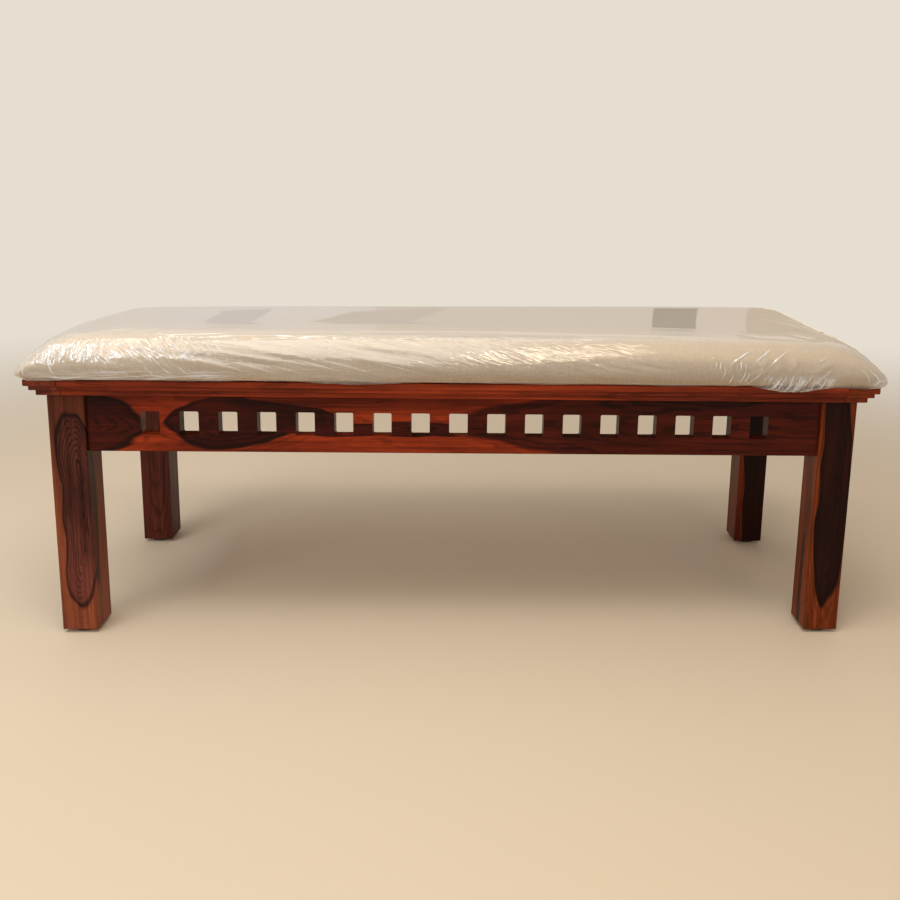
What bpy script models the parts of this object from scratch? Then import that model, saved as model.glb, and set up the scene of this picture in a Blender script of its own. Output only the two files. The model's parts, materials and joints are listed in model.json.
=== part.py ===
"""Upholstered dining bench: square legs, windowed aprons, a moulded top frame and a wrapped seat pad.

Metres, +Z up. The origin is on the floor under the middle of the bench, and +X runs along its length.
"""

import math

import bmesh
import bpy
from mathutils import Matrix, Vector

# Clearance between pieces that touch
FIT_GAP = 0.0003

# Top frame: outline, height above the floor, and the three steps of its moulded edge
TOP_LENGTH = 1.220
TOP_DEPTH = 0.440
FRAME_UNDERSIDE = 0.368
LOW_STEP_HEIGHT = 0.0085
MID_STEP_HEIGHT = 0.0070
TOP_STEP_HEIGHT = 0.0095
LOW_STEP_OVERHANG = 0.0101
MID_STEP_OVERHANG = 0.0168
TOP_STEP_OVERHANG = 0.0220
END_RAIL_WIDTH = 0.046
LONG_RAIL_WIDTH = 0.075
CROSS_RAIL_WIDTH = 0.045
CROSS_RAIL_SPACING = 0.380
TONGUE_THICKNESS = 0.008
TONGUE_LENGTH = 0.020
TONGUE_SHOULDER = 0.016
CROSS_SHOULDER = 0.008
MOULDING_EASE = 0.0010

# Legs and the glides nailed under them
LEG_WIDTH = 0.052
LEG_EASE = 0.0016
GLIDE_HEIGHT = 0.005
GLIDE_INSET = 0.006
GLIDE_EASE = 0.0010
NAIL_RADIUS = 0.0013
NAIL_LENGTH = 0.015
NAIL_TIP = 0.003

# Aprons, with a row of small windows along each
APRON_HEIGHT = 0.086
APRON_THICKNESS = 0.021
APRON_SETBACK = 0.006
APRON_EASE = 0.0008
TENON_THICKNESS = 0.009
TENON_SHOULDER = 0.010
TENON_WEB = 0.003
WINDOW_WIDTH = 0.0272
WINDOW_HEIGHT = 0.0345
WINDOW_PITCH = 0.0557
WINDOW_CORNER = 0.0018
WINDOW_END_MARGIN = 0.066

# Corner blocks behind the legs, and screws
BLOCK_REACH = 0.070
BLOCK_THICKNESS = 0.024
BLOCK_SCREW_OFFSET = 0.032
BLOCK_LIFT_SCREW_OFFSET = 0.014
BLOCK_SIDE_GRIP = 0.012
BLOCK_LIFT_GRIP = 0.014
SCREW_RADIUS = 0.0020
SCREW_HEAD_RADIUS = 0.0040
SCREW_HEAD_HEIGHT = 0.0025
SCREW_HEAD_EASE = 0.0010
SCREW_TIP = 0.0040
SCREW_HEAD_CLEARANCE = 0.0010
APRON_SCREW_COVER = 0.008
RAIL_SCREW_COVER = 0.009
BOARD_SCREW_COVER = 0.004
SEAT_SCREW_RECESS = 0.006
SEAT_SCREW_SPACING = 0.200

# Seat pad: board, foam, fabric cover and clear film
BOARD_THICKNESS = 0.012
BOARD_CORNER = 0.035
BOARD_SKIRT = 0.014
CUSHION_END_OVERHANG = 0.0150
CUSHION_SIDE_OVERHANG = 0.0122
CUSHION_RISE = 0.0450
CUSHION_END_SHOULDER = 0.060
CUSHION_SIDE_SHOULDER = 0.080
CUSHION_BASE_ROUND = 0.010
CUSHION_CROWN = 0.006
CUSHION_DRAW_IN = 0.003
COVER_THICKNESS = 0.0012
COVER_TURN_UNDER = 0.040
FILM_THICKNESS = 0.0005
CAGE_CELLS_LONG = 6
CAGE_CELLS_DEEP = 4
CAGE_CROWDING = 2.2

# How far a cutter stands out past the piece that it cuts, and how finely round shapes are drawn
CUTTER_MARGIN = 0.020
TURN_STEPS = 10
GLIDE_STEPS = 20
BOARD_CORNER_SEGMENTS = 5
SHOULDER_RING_ANGLES = (90, 60, 30, 0)
MERGE_DISTANCE = 0.00001
FLAT_ANGLE = 1
SHARP_ANGLE = 40

# Heights and half sizes that follow from the sizes above
BASE_TOP = FRAME_UNDERSIDE - FIT_GAP
LEG_BOTTOM = GLIDE_HEIGHT + FIT_GAP
APRON_BOTTOM = BASE_TOP - APRON_HEIGHT
FRAME_TOP = FRAME_UNDERSIDE + LOW_STEP_HEIGHT + MID_STEP_HEIGHT + TOP_STEP_HEIGHT
FRAME_MIDDLE = (FRAME_UNDERSIDE + FRAME_TOP) / 2
HALF_LENGTH = TOP_LENGTH / 2
HALF_DEPTH = TOP_DEPTH / 2
LEG_X = HALF_LENGTH - TOP_STEP_OVERHANG
LEG_Y = HALF_DEPTH - TOP_STEP_OVERHANG
LEG_INNER_X = LEG_X - LEG_WIDTH
LEG_INNER_Y = LEG_Y - LEG_WIDTH
END_INNER_X = HALF_LENGTH - END_RAIL_WIDTH
LONG_INNER_Y = HALF_DEPTH - LONG_RAIL_WIDTH

# Distances in from a leg's outer face
APRON_PLANE = APRON_SETBACK + APRON_THICKNESS / 2
APRON_INNER = APRON_SETBACK + APRON_THICKNESS
TENON_LENGTH = LEG_WIDTH - APRON_PLANE - TENON_THICKNESS / 2 - TENON_WEB
RAIL_INNER = LONG_RAIL_WIDTH - TOP_STEP_OVERHANG

# The layers of the seat pad, from the frame up
COVER_LIFT = FIT_GAP
FILM_LIFT = COVER_LIFT + COVER_THICKNESS + FIT_GAP
CUSHION_BASE = FRAME_TOP + FIT_GAP + FILM_THICKNESS + FILM_LIFT
CROSS_RAIL_TOP = CUSHION_BASE - FIT_GAP
CUSHION_HALF = (HALF_LENGTH + CUSHION_END_OVERHANG, HALF_DEPTH + CUSHION_SIDE_OVERHANG)
CUSHION_SHOULDER = (CUSHION_END_SHOULDER, CUSHION_SIDE_SHOULDER)
BOARD_EDGE = CUSHION_BASE_ROUND + BOARD_SKIRT

# The corners and sides, in turn order seen from above: a quarter turn carries each to the next
CORNERS = ("front_left", "front_right", "rear_right", "rear_left")
SIDES = ("front", "right", "rear", "left")
QUARTER_TURN = math.pi / 2


def clear_scene():
    """Empty the scene."""
    for item in list(bpy.data.objects):
        bpy.data.objects.remove(item, do_unlink=True)


def new_collection(name):
    """A collection linked to the scene."""
    collection = bpy.data.collections.new(name)
    bpy.context.scene.collection.children.link(collection)
    return collection


def finish(name, colour, roughness, metallic=0.0, alpha=1.0):
    """A Principled material with one colour."""
    material = bpy.data.materials.new(name)
    material.use_nodes = True
    shader = material.node_tree.nodes["Principled BSDF"]
    shader.inputs["Base Color"].default_value = (*colour, 1.0)
    shader.inputs["Roughness"].default_value = roughness
    shader.inputs["Metallic"].default_value = metallic
    shader.inputs["Alpha"].default_value = alpha
    return material


class Bench:
    """The collections, the parent empty and the finishes that every piece shares."""

    def __init__(self):
        self.parts = new_collection("upholstered_dining_bench")
        self.cutters = new_collection("bench_cutters")
        self.root = bpy.data.objects.new("bench", None)
        self.parts.objects.link(self.root)
        self.rosewood = finish("lacquered_rosewood", (0.16, 0.035, 0.012), 0.28)
        self.inner_wood = finish("plain_rosewood", (0.20, 0.07, 0.03), 0.55)
        self.plywood = finish("plywood", (0.52, 0.36, 0.20), 0.70)
        self.foam = finish("foam", (0.85, 0.78, 0.55), 0.90)
        self.fabric = finish("woven_cover", (0.58, 0.50, 0.38), 0.85)
        self.film = finish("clear_film", (0.95, 0.95, 0.93), 0.08, alpha=0.25)
        self.steel = finish("zinc_steel", (0.60, 0.60, 0.58), 0.35, metallic=1.0)
        self.plastic = finish("black_plastic", (0.02, 0.02, 0.02), 0.50)

    def add(self, name, mesh, material, matrix):
        """Add a piece of the bench."""
        mesh.materials.append(material)
        piece = bpy.data.objects.new(name, mesh)
        piece.parent = self.root
        piece.matrix_basis = matrix
        self.parts.objects.link(piece)
        return piece

    def add_cutter(self, name, mesh, matrix, parent=None):
        """Add a helper that is only used by Booleans."""
        cutter = bpy.data.objects.new(name, mesh)
        cutter.parent = parent
        cutter.matrix_basis = matrix
        cutter.hide_render = True
        cutter.display_type = "WIRE"
        self.cutters.objects.link(cutter)
        return cutter


def boolean(piece, other, operation="DIFFERENCE"):
    """Cut the other object from the piece, or join it on."""
    modifier = piece.modifiers.new(f"{operation.lower()}_{other.name}", "BOOLEAN")
    modifier.operation = operation
    modifier.solver = "EXACT"
    modifier.object = other


def runs_along(axis):
    """A test for the edges of a box that run along one axis."""
    return lambda edge: abs((edge.verts[0].co - edge.verts[1].co).normalized()[axis]) > 0.9


def box_mesh(name, size, ease=0.0, eased=None, segments=2):
    """A box round its own origin, with the edges that pass the test rounded, or all of them."""
    shape = bmesh.new()
    bmesh.ops.create_cube(shape, size=1.0)
    bmesh.ops.scale(shape, vec=size, verts=shape.verts)
    if ease:
        edges = [edge for edge in shape.edges if eased is None or eased(edge)]
        bmesh.ops.bevel(shape, geom=edges, offset=ease, segments=segments, profile=0.5, affect="EDGES")
    mesh = bpy.data.meshes.new(name)
    shape.to_mesh(mesh)
    shape.free()
    return mesh


def box_between(first, second):
    """The size of the box between two corners, and a matrix that moves it to its middle."""
    first, second = Vector(first), Vector(second)
    size = [abs(b - a) for a, b in zip(first, second)]
    return size, Matrix.Translation((first + second) / 2)


def turned_object(mesh_name, profile, steps, add):
    """Turn a profile of (radius, height) points round Z. The profile runs down its outer side."""
    mesh = bpy.data.meshes.new(mesh_name)
    points = [(radius, 0.0, height) for radius, height in profile]
    mesh.from_pydata(points, [(i, i + 1) for i in range(len(points) - 1)], [])
    piece = add(mesh)
    turn = piece.modifiers.new("turn", "SCREW")
    turn.steps = steps
    turn.render_steps = steps
    turn.use_merge_vertices = True
    turn.merge_threshold = MERGE_DISTANCE
    return piece


def outline_mesh(name, outline, thickness):
    """A flat plate: a closed outline in XY, extruded half its thickness to either side of Z = 0."""
    curve = bpy.data.curves.new(name, "CURVE")
    curve.dimensions = "2D"
    curve.fill_mode = "BOTH"
    curve.extrude = thickness / 2
    spline = curve.splines.new("POLY")
    spline.points.add(len(outline) - 1)
    for point, (x, y) in zip(spline.points, outline):
        point.co = (x, y, 0.0, 1.0)
    spline.use_cyclic_u = True
    guide = bpy.data.objects.new(name, curve)
    bpy.context.scene.collection.objects.link(guide)
    graph = bpy.context.evaluated_depsgraph_get()
    mesh = bpy.data.meshes.new_from_object(guide.evaluated_get(graph))
    bpy.data.objects.remove(guide, do_unlink=True)
    shape = bmesh.new()
    shape.from_mesh(mesh)
    bmesh.ops.remove_doubles(shape, verts=shape.verts, dist=MERGE_DISTANCE)
    bmesh.ops.recalc_face_normals(shape, faces=shape.faces)
    shape.to_mesh(mesh)
    shape.free()
    return mesh


def facing(seat, direction):
    """The matrix of a screw whose head sits at a point and whose tip leads the way along a direction."""
    turn = Vector(direction).to_track_quat("-Z", "Y").to_matrix().to_4x4()
    return Matrix.Translation(seat) @ turn


def add_screw(bench, name, matrix, grip, bite, pieces):
    """A pan head screw seated at the matrix's origin, and its stepped hole through the pieces it joins."""
    length = grip + bite
    profile = [
        (0.0, SCREW_HEAD_HEIGHT),
        (SCREW_HEAD_RADIUS - SCREW_HEAD_EASE, SCREW_HEAD_HEIGHT),
        (SCREW_HEAD_RADIUS, SCREW_HEAD_HEIGHT - SCREW_HEAD_EASE),
        (SCREW_HEAD_RADIUS, 0.0),
        (SCREW_RADIUS, 0.0),
        (SCREW_RADIUS, SCREW_TIP - length),
        (0.0, -length),
    ]
    bore = SCREW_RADIUS + FIT_GAP
    pocket = SCREW_HEAD_RADIUS + SCREW_HEAD_CLEARANCE
    pocket_mouth = BLOCK_REACH + CUTTER_MARGIN
    hole = [
        (0.0, pocket_mouth),
        (pocket, pocket_mouth),
        (pocket, -FIT_GAP),
        (bore, -FIT_GAP),
        (bore, -length - FIT_GAP),
        (0.0, -length - FIT_GAP),
    ]
    turned_object(name, profile, TURN_STEPS, lambda mesh: bench.add(name, mesh, bench.steel, matrix))
    cutter_name = f"hole_{name}"
    cutter = turned_object(
        cutter_name, hole, TURN_STEPS, lambda mesh: bench.add_cutter(cutter_name, mesh, matrix)
    )
    for piece in pieces:
        boolean(piece, cutter)


def build_legs(bench):
    """Four square legs with every edge but those at the top eased, and a nailed glide under each."""
    legs = {}
    height = BASE_TOP - LEG_BOTTOM
    nail_top = GLIDE_HEIGHT + NAIL_LENGTH
    glide_radius = LEG_WIDTH / 2 - GLIDE_INSET
    glide_profile = [
        (0.0, nail_top),
        (NAIL_RADIUS, nail_top - NAIL_TIP),
        (NAIL_RADIUS, GLIDE_HEIGHT),
        (glide_radius - GLIDE_EASE, GLIDE_HEIGHT),
        (glide_radius, GLIDE_HEIGHT - GLIDE_EASE),
        (glide_radius, GLIDE_EASE),
        (glide_radius - GLIDE_EASE, 0.0),
        (0.0, 0.0),
    ]
    nail_hole = NAIL_RADIUS + FIT_GAP
    nail_profile = [
        (0.0, nail_top + FIT_GAP),
        (nail_hole, nail_top + FIT_GAP),
        (nail_hole, 0.0),
        (0.0, 0.0),
    ]
    for corner in CORNERS:
        side_x = 1 if "right" in corner else -1
        side_y = 1 if "rear" in corner else -1
        centre = Vector((side_x * (LEG_X - LEG_WIDTH / 2), side_y * (LEG_Y - LEG_WIDTH / 2), 0.0))
        mesh = box_mesh(
            f"leg_{corner}",
            (LEG_WIDTH, LEG_WIDTH, height),
            LEG_EASE,
            lambda edge: min(vert.co.z for vert in edge.verts) < 0,
        )
        middle = centre + Vector((0.0, 0.0, LEG_BOTTOM + height / 2))
        leg = bench.add(f"leg_{corner}", mesh, bench.rosewood, Matrix.Translation(middle))
        legs[corner] = leg
        spot = Matrix.Translation(centre)
        turned_object(
            f"glide_{corner}",
            glide_profile,
            GLIDE_STEPS,
            lambda mesh: bench.add(f"glide_{corner}", mesh, bench.plastic, spot),
        )
        nail_cutter = turned_object(
            f"nail_hole_{corner}",
            nail_profile,
            TURN_STEPS,
            lambda mesh: bench.add_cutter(f"nail_hole_{corner}", mesh, spot),
        )
        boolean(leg, nail_cutter)
    return legs


def cut_windows(bench, apron, name, half_length):
    """Cut as many windows as fit on the pitch between the end margins, with one at the middle."""
    each_side = math.floor((half_length - WINDOW_END_MARGIN) / WINDOW_PITCH)
    size = (WINDOW_WIDTH, APRON_THICKNESS + 2 * CUTTER_MARGIN, WINDOW_HEIGHT)
    mesh = box_mesh(f"windows_{name}", size, WINDOW_CORNER, runs_along(1))
    first = (-each_side * WINDOW_PITCH, 0.0, APRON_BOTTOM + APRON_HEIGHT / 2)
    cutter = bench.add_cutter(f"windows_{name}", mesh, Matrix.Translation(first), apron)
    row = cutter.modifiers.new("row", "ARRAY")
    row.count = 2 * each_side + 1
    row.use_relative_offset = False
    row.use_constant_offset = True
    row.constant_offset_displace = (WINDOW_PITCH, 0.0, 0.0)
    boolean(apron, cutter)


def build_aprons(bench, legs):
    """Four aprons tenoned into the legs. Each is made along X with its show face to -Y, then turned."""
    aprons = {}
    for turn, side in enumerate(SIDES):
        along_x = turn % 2 == 0
        half_length = LEG_INNER_X if along_x else LEG_INNER_Y
        out = (LEG_Y if along_x else LEG_X) - APRON_PLANE
        matrix = Matrix.Rotation(turn * QUARTER_TURN, 4, "Z") @ Matrix.Translation((0.0, -out, 0.0))
        body_half = half_length - FIT_GAP
        tenon_half = half_length + TENON_LENGTH
        size = (2 * body_half, APRON_THICKNESS, APRON_HEIGHT)
        mesh = box_mesh(f"apron_{side}", size, APRON_EASE, runs_along(0), 1)
        centre = Matrix.Translation((0.0, 0.0, APRON_BOTTOM + APRON_HEIGHT / 2))
        mesh.transform(centre)
        apron = bench.add(f"apron_{side}", mesh, bench.rosewood, matrix)
        tenon_height = APRON_HEIGHT - 2 * TENON_SHOULDER
        tenon_mesh = box_mesh(f"tenons_{side}", (2 * tenon_half, TENON_THICKNESS, tenon_height))
        boolean(apron, bench.add_cutter(f"tenons_{side}", tenon_mesh, centre, apron), "UNION")
        mortise_size = [extent + 2 * FIT_GAP for extent in (2 * tenon_half, TENON_THICKNESS, tenon_height)]
        mortise_mesh = box_mesh(f"mortises_{side}", mortise_size)
        mortises = bench.add_cutter(f"mortises_{side}", mortise_mesh, centre, apron)
        for corner in (CORNERS[turn], CORNERS[(turn + 1) % len(CORNERS)]):
            boolean(legs[corner], mortises)
        cut_windows(bench, apron, side, half_length)
        aprons[side] = apron
    return aprons


def router_cutter(bench, name, overhang, top):
    """A ring that runs round the frame and leaves a lower step standing out by its overhang."""
    floor = FRAME_UNDERSIDE - CUTTER_MARGIN
    outer = (HALF_LENGTH + CUTTER_MARGIN, HALF_DEPTH + CUTTER_MARGIN)
    inner = (LEG_X + overhang, LEG_Y + overhang)
    size, matrix = box_between((-outer[0], -outer[1], floor), (*outer, top))
    ring = bench.add_cutter(f"router_{name}", box_mesh(f"router_{name}", size), matrix)
    size, matrix = box_between(
        (-inner[0], -inner[1], floor - CUTTER_MARGIN), (*inner, top + CUTTER_MARGIN)
    )
    boolean(ring, bench.add_cutter(f"core_{name}", box_mesh(f"core_{name}", size), matrix))
    return ring


def ease_edges(piece, width):
    """Merge the flat faces that the piece has so far, and round the sharp edges between them."""
    flat = piece.modifiers.new("flat", "DECIMATE")
    flat.decimate_type = "DISSOLVE"
    flat.angle_limit = math.radians(FLAT_ANGLE)
    bevel = piece.modifiers.new("ease", "BEVEL")
    bevel.width = width
    bevel.segments = 1
    bevel.limit_method = "ANGLE"
    bevel.angle_limit = math.radians(SHARP_ANGLE)


def tongue_and_groove(bench, piece, first, second, others):
    """Join a tongue between two corners to the piece, and cut the groove that takes it from the others."""
    size, matrix = box_between(first, second)
    name = f"tongue_{piece.name}"
    boolean(piece, bench.add_cutter(name, box_mesh(name, size), matrix), "UNION")
    name = f"groove_{piece.name}"
    groove_size = [extent + 2 * FIT_GAP for extent in size]
    groove = bench.add_cutter(name, box_mesh(name, groove_size), matrix)
    for other in others:
        boolean(other, groove)


def build_top_frame(bench):
    """Two end rails of full depth, two long rails tongued between them, and two cross rails."""
    routers = [
        router_cutter(bench, "low_step", LOW_STEP_OVERHANG, FRAME_UNDERSIDE + LOW_STEP_HEIGHT),
        router_cutter(bench, "mid_step", MID_STEP_OVERHANG, FRAME_TOP - TOP_STEP_HEIGHT),
    ]
    rails = {}
    corners = {
        "end_rail_left": ((-HALF_LENGTH, -HALF_DEPTH), (-END_INNER_X, HALF_DEPTH)),
        "end_rail_right": ((END_INNER_X, -HALF_DEPTH), (HALF_LENGTH, HALF_DEPTH)),
        "long_rail_front": ((FIT_GAP - END_INNER_X, -HALF_DEPTH), (END_INNER_X - FIT_GAP, -LONG_INNER_Y)),
        "long_rail_rear": ((FIT_GAP - END_INNER_X, LONG_INNER_Y), (END_INNER_X - FIT_GAP, HALF_DEPTH)),
    }
    for name, (first, second) in corners.items():
        size, matrix = box_between((*first, FRAME_UNDERSIDE), (*second, FRAME_TOP))
        rails[name] = bench.add(name, box_mesh(name, size), bench.rosewood, matrix)
        for router in routers:
            boolean(rails[name], router)
        ease_edges(rails[name], MOULDING_EASE)

    ends = (rails["end_rail_left"], rails["end_rail_right"])
    tongue = TONGUE_THICKNESS / 2
    reach = END_INNER_X + TONGUE_LENGTH
    for name, side in (("long_rail_front", -1), ("long_rail_rear", 1)):
        first = (-reach, side * (HALF_DEPTH - TONGUE_SHOULDER), FRAME_MIDDLE - tongue)
        second = (reach, side * (LONG_INNER_Y + TONGUE_SHOULDER), FRAME_MIDDLE + tongue)
        tongue_and_groove(bench, rails[name], first, second, ends)

    longs = (rails["long_rail_front"], rails["long_rail_rear"])
    body = LONG_INNER_Y - FIT_GAP
    reach = LONG_INNER_Y + TONGUE_LENGTH
    tenon_half = CROSS_RAIL_WIDTH / 2 - CROSS_SHOULDER
    for name, side in (("cross_rail_left", -1), ("cross_rail_right", 1)):
        centre = side * CROSS_RAIL_SPACING / 2
        size, matrix = box_between(
            (centre - CROSS_RAIL_WIDTH / 2, -body, FRAME_UNDERSIDE),
            (centre + CROSS_RAIL_WIDTH / 2, body, CROSS_RAIL_TOP),
        )
        mesh = box_mesh(name, size, MOULDING_EASE, runs_along(1), 1)
        rails[name] = bench.add(name, mesh, bench.inner_wood, matrix)
        first = (centre - tenon_half, -reach, FRAME_MIDDLE - tongue)
        second = (centre + tenon_half, reach, FRAME_MIDDLE + tongue)
        tongue_and_groove(bench, rails[name], first, second, longs)
    return rails


def build_corner_blocks(bench, aprons, rails):
    """A notched block in each corner, screwed to both aprons and up into the long rail over it.

    Each block is drawn from its leg's outer corner, with the aprons along local X and Y, then turned.
    """
    near = APRON_INNER + FIT_GAP
    notch = LEG_WIDTH + FIT_GAP
    far = LEG_WIDTH + BLOCK_REACH
    outline = [(notch, near), (far, near), (near, far), (near, notch), (notch, notch)]
    middle = BASE_TOP - BLOCK_THICKNESS / 2
    side_place = LEG_WIDTH + BLOCK_SCREW_OFFSET
    side_bite = APRON_THICKNESS + FIT_GAP - APRON_SCREW_COVER
    lift_along = LEG_WIDTH + BLOCK_LIFT_SCREW_OFFSET
    lift_across = (APRON_INNER + RAIL_INNER) / 2
    lift_bite = FIT_GAP + FRAME_TOP - FRAME_UNDERSIDE - RAIL_SCREW_COVER
    for turn, corner in enumerate(CORNERS):
        across_x = turn % 2 == 0
        reach = (LEG_X, LEG_Y) if across_x else (LEG_Y, LEG_X)
        leg_corner = Matrix.Translation((-reach[0], -reach[1], 0.0))
        frame = Matrix.Rotation(turn * QUARTER_TURN, 4, "Z") @ leg_corner
        name = f"corner_block_{corner}"
        mesh = outline_mesh(name, outline, BLOCK_THICKNESS)
        block = bench.add(name, mesh, bench.inner_wood, frame @ Matrix.Translation((0.0, 0.0, middle)))
        seat = near + BLOCK_SIDE_GRIP
        along_x = aprons[SIDES[turn]]
        along_y = aprons[SIDES[turn - 1]]
        runs = (
            ("a", (side_place, seat, middle), (0.0, -1.0, 0.0), along_x),
            ("b", (seat, side_place, middle), (-1.0, 0.0, 0.0), along_y),
        )
        for letter, spot, direction, apron in runs:
            add_screw(
                bench,
                f"block_screw_{corner}_{letter}",
                frame @ facing(spot, direction),
                BLOCK_SIDE_GRIP,
                side_bite,
                (block, apron),
            )
        plan = (lift_along, lift_across) if across_x else (lift_across, lift_along)
        rail = rails["long_rail_front" if "front" in corner else "long_rail_rear"]
        add_screw(
            bench,
            f"frame_screw_{corner}",
            frame @ facing((*plan, BASE_TOP - BLOCK_LIFT_GRIP), (0.0, 0.0, 1.0)),
            BLOCK_LIFT_GRIP,
            lift_bite,
            (block, rail),
        )


def station(share):
    """Where a cage line falls between the middle, 0, and an edge, 1 or -1: closer together near the edge."""
    return math.copysign(1 - (1 - abs(share)) ** CAGE_CROWDING, share)


def cushion_rings():
    """(half length, half depth, height) of the rings that carry the pad down from the edge of its crown.

    They go round the shoulder on a quarter ellipse, round the base, and in under the board.
    """
    widest = CUSHION_BASE + CUSHION_BASE_ROUND
    rings = []
    for angle in map(math.radians, SHOULDER_RING_ANGLES):
        insets = [shoulder * (1 - math.cos(angle)) for shoulder in CUSHION_SHOULDER]
        rings.append((insets, widest + CUSHION_RISE * math.sin(angle)))
    for inset in (CUSHION_BASE_ROUND, BOARD_EDGE, BOARD_EDGE + COVER_TURN_UNDER):
        rings.append(((inset, inset), CUSHION_BASE))
    return [(CUSHION_HALF[0] - long, CUSHION_HALF[1] - deep, height) for (long, deep), height in rings]


def cushion_mesh(name, closed):
    """Cage of the seat pad: a crowned grid with rings carried down its rim, closed or open below."""
    (length, depth, plateau), *rings = cushion_rings()
    cage = bmesh.new()
    bmesh.ops.create_grid(cage, x_segments=CAGE_CELLS_LONG, y_segments=CAGE_CELLS_DEEP, size=1.0)
    for vert in cage.verts:
        share_x, share_y = station(vert.co.x), station(vert.co.y)
        crown = CUSHION_CROWN * (1 - share_x**2) * (1 - share_y**2)
        vert.co = (share_x * length, share_y * depth, plateau + crown)
    rim = [edge for edge in cage.edges if edge.is_boundary]
    for ring_length, ring_depth, height in rings:
        grown = bmesh.ops.extrude_edge_only(cage, edges=rim)["geom"]
        verts = [item for item in grown if isinstance(item, bmesh.types.BMVert)]
        bmesh.ops.scale(cage, vec=(ring_length / length, ring_depth / depth, 1.0), verts=verts)
        for vert in verts:
            vert.co.z = height
        rim = [item for item in grown if isinstance(item, bmesh.types.BMEdge) and item.is_boundary]
        length, depth = ring_length, ring_depth
    for vert in cage.verts:
        share_x, share_y = vert.co.x / CUSHION_HALF[0], vert.co.y / CUSHION_HALF[1]
        vert.co.x -= CUSHION_DRAW_IN * share_x * (1 - share_y**2)
        vert.co.y -= CUSHION_DRAW_IN * share_y * (1 - share_x**2)
    if closed:
        bmesh.ops.holes_fill(cage, edges=rim)
    bmesh.ops.recalc_face_normals(cage, faces=cage.faces)
    mesh = bpy.data.meshes.new(name)
    cage.to_mesh(mesh)
    cage.free()
    mesh.shade_smooth()
    return mesh


def smooth_form(piece):
    """Round the cage once."""
    smooth = piece.modifiers.new("smooth", "SUBSURF")
    smooth.levels = 1
    smooth.render_levels = 1


def wrap(bench, name, material, thickness, lift):
    """A skin of the seat pad: the open form, thickened outwards from a lift above the foam."""
    piece = bench.add(name, cushion_mesh(name, False), material, Matrix())
    smooth_form(piece)
    wall = piece.modifiers.new("wall", "SOLIDIFY")
    wall.thickness = thickness
    wall.offset = 1 + 2 * lift / thickness
    wall.use_even_offset = True
    wall.use_quality_normals = True
    return piece


def build_seat(bench, rails):
    """The board, the foam that laps its edges, the cover and the film turned under it, and its screws."""
    half = [extent - BOARD_EDGE for extent in CUSHION_HALF]
    low = (-half[0], -half[1], CUSHION_BASE)
    high = (*half, CUSHION_BASE + BOARD_THICKNESS)
    size, matrix = box_between(low, high)
    mesh = box_mesh("seat_board", size, BOARD_CORNER, runs_along(2), BOARD_CORNER_SEGMENTS)
    board = bench.add("seat_board", mesh, bench.plywood, matrix)

    foam = bench.add("foam_pad", cushion_mesh("foam_pad", True), bench.foam, Matrix())
    smooth_form(foam)
    size, matrix = box_between(
        (low[0] - FIT_GAP, low[1] - FIT_GAP, low[2] - CUTTER_MARGIN),
        (high[0] + FIT_GAP, high[1] + FIT_GAP, high[2] + FIT_GAP),
    )
    mesh = box_mesh("board_recess", size, BOARD_CORNER + FIT_GAP, runs_along(2), BOARD_CORNER_SEGMENTS)
    boolean(foam, bench.add_cutter("board_recess", mesh, matrix))

    wrap(bench, "seat_cover", bench.fabric, COVER_THICKNESS, COVER_LIFT)
    wrap(bench, "protective_film", bench.film, FILM_THICKNESS, FILM_LIFT)

    seat_z = FRAME_UNDERSIDE + SEAT_SCREW_RECESS
    grip = CROSS_RAIL_TOP - seat_z
    bite = FIT_GAP + BOARD_THICKNESS - BOARD_SCREW_COVER
    for side, side_x in (("left", -1), ("right", 1)):
        for end, side_y in (("front", -1), ("rear", 1)):
            spot = (side_x * CROSS_RAIL_SPACING / 2, side_y * SEAT_SCREW_SPACING / 2, seat_z)
            add_screw(
                bench,
                f"seat_screw_{end}_{side}",
                facing(spot, (0.0, 0.0, 1.0)),
                grip,
                bite,
                (rails[f"cross_rail_{side}"], board),
            )


def main():
    """Build the bench from the floor up."""
    clear_scene()
    bench = Bench()
    legs = build_legs(bench)
    aprons = build_aprons(bench, legs)
    rails = build_top_frame(bench)
    build_corner_blocks(bench, aprons, rails)
    build_seat(bench, rails)


main()
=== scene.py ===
"""Looks of the upholstered dining bench: figured rosewood, a woven seat pad and clear film over it.

Metres, +Z up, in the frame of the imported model: the bench stands on the origin with its length along X and
its front towards -Y.
"""

from __future__ import annotations

import json
import logging
import math
from dataclasses import dataclass
from enum import Enum
from typing import Any

import bmesh
import bpy
import numpy as np
from mathutils import Matrix, Vector

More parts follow.
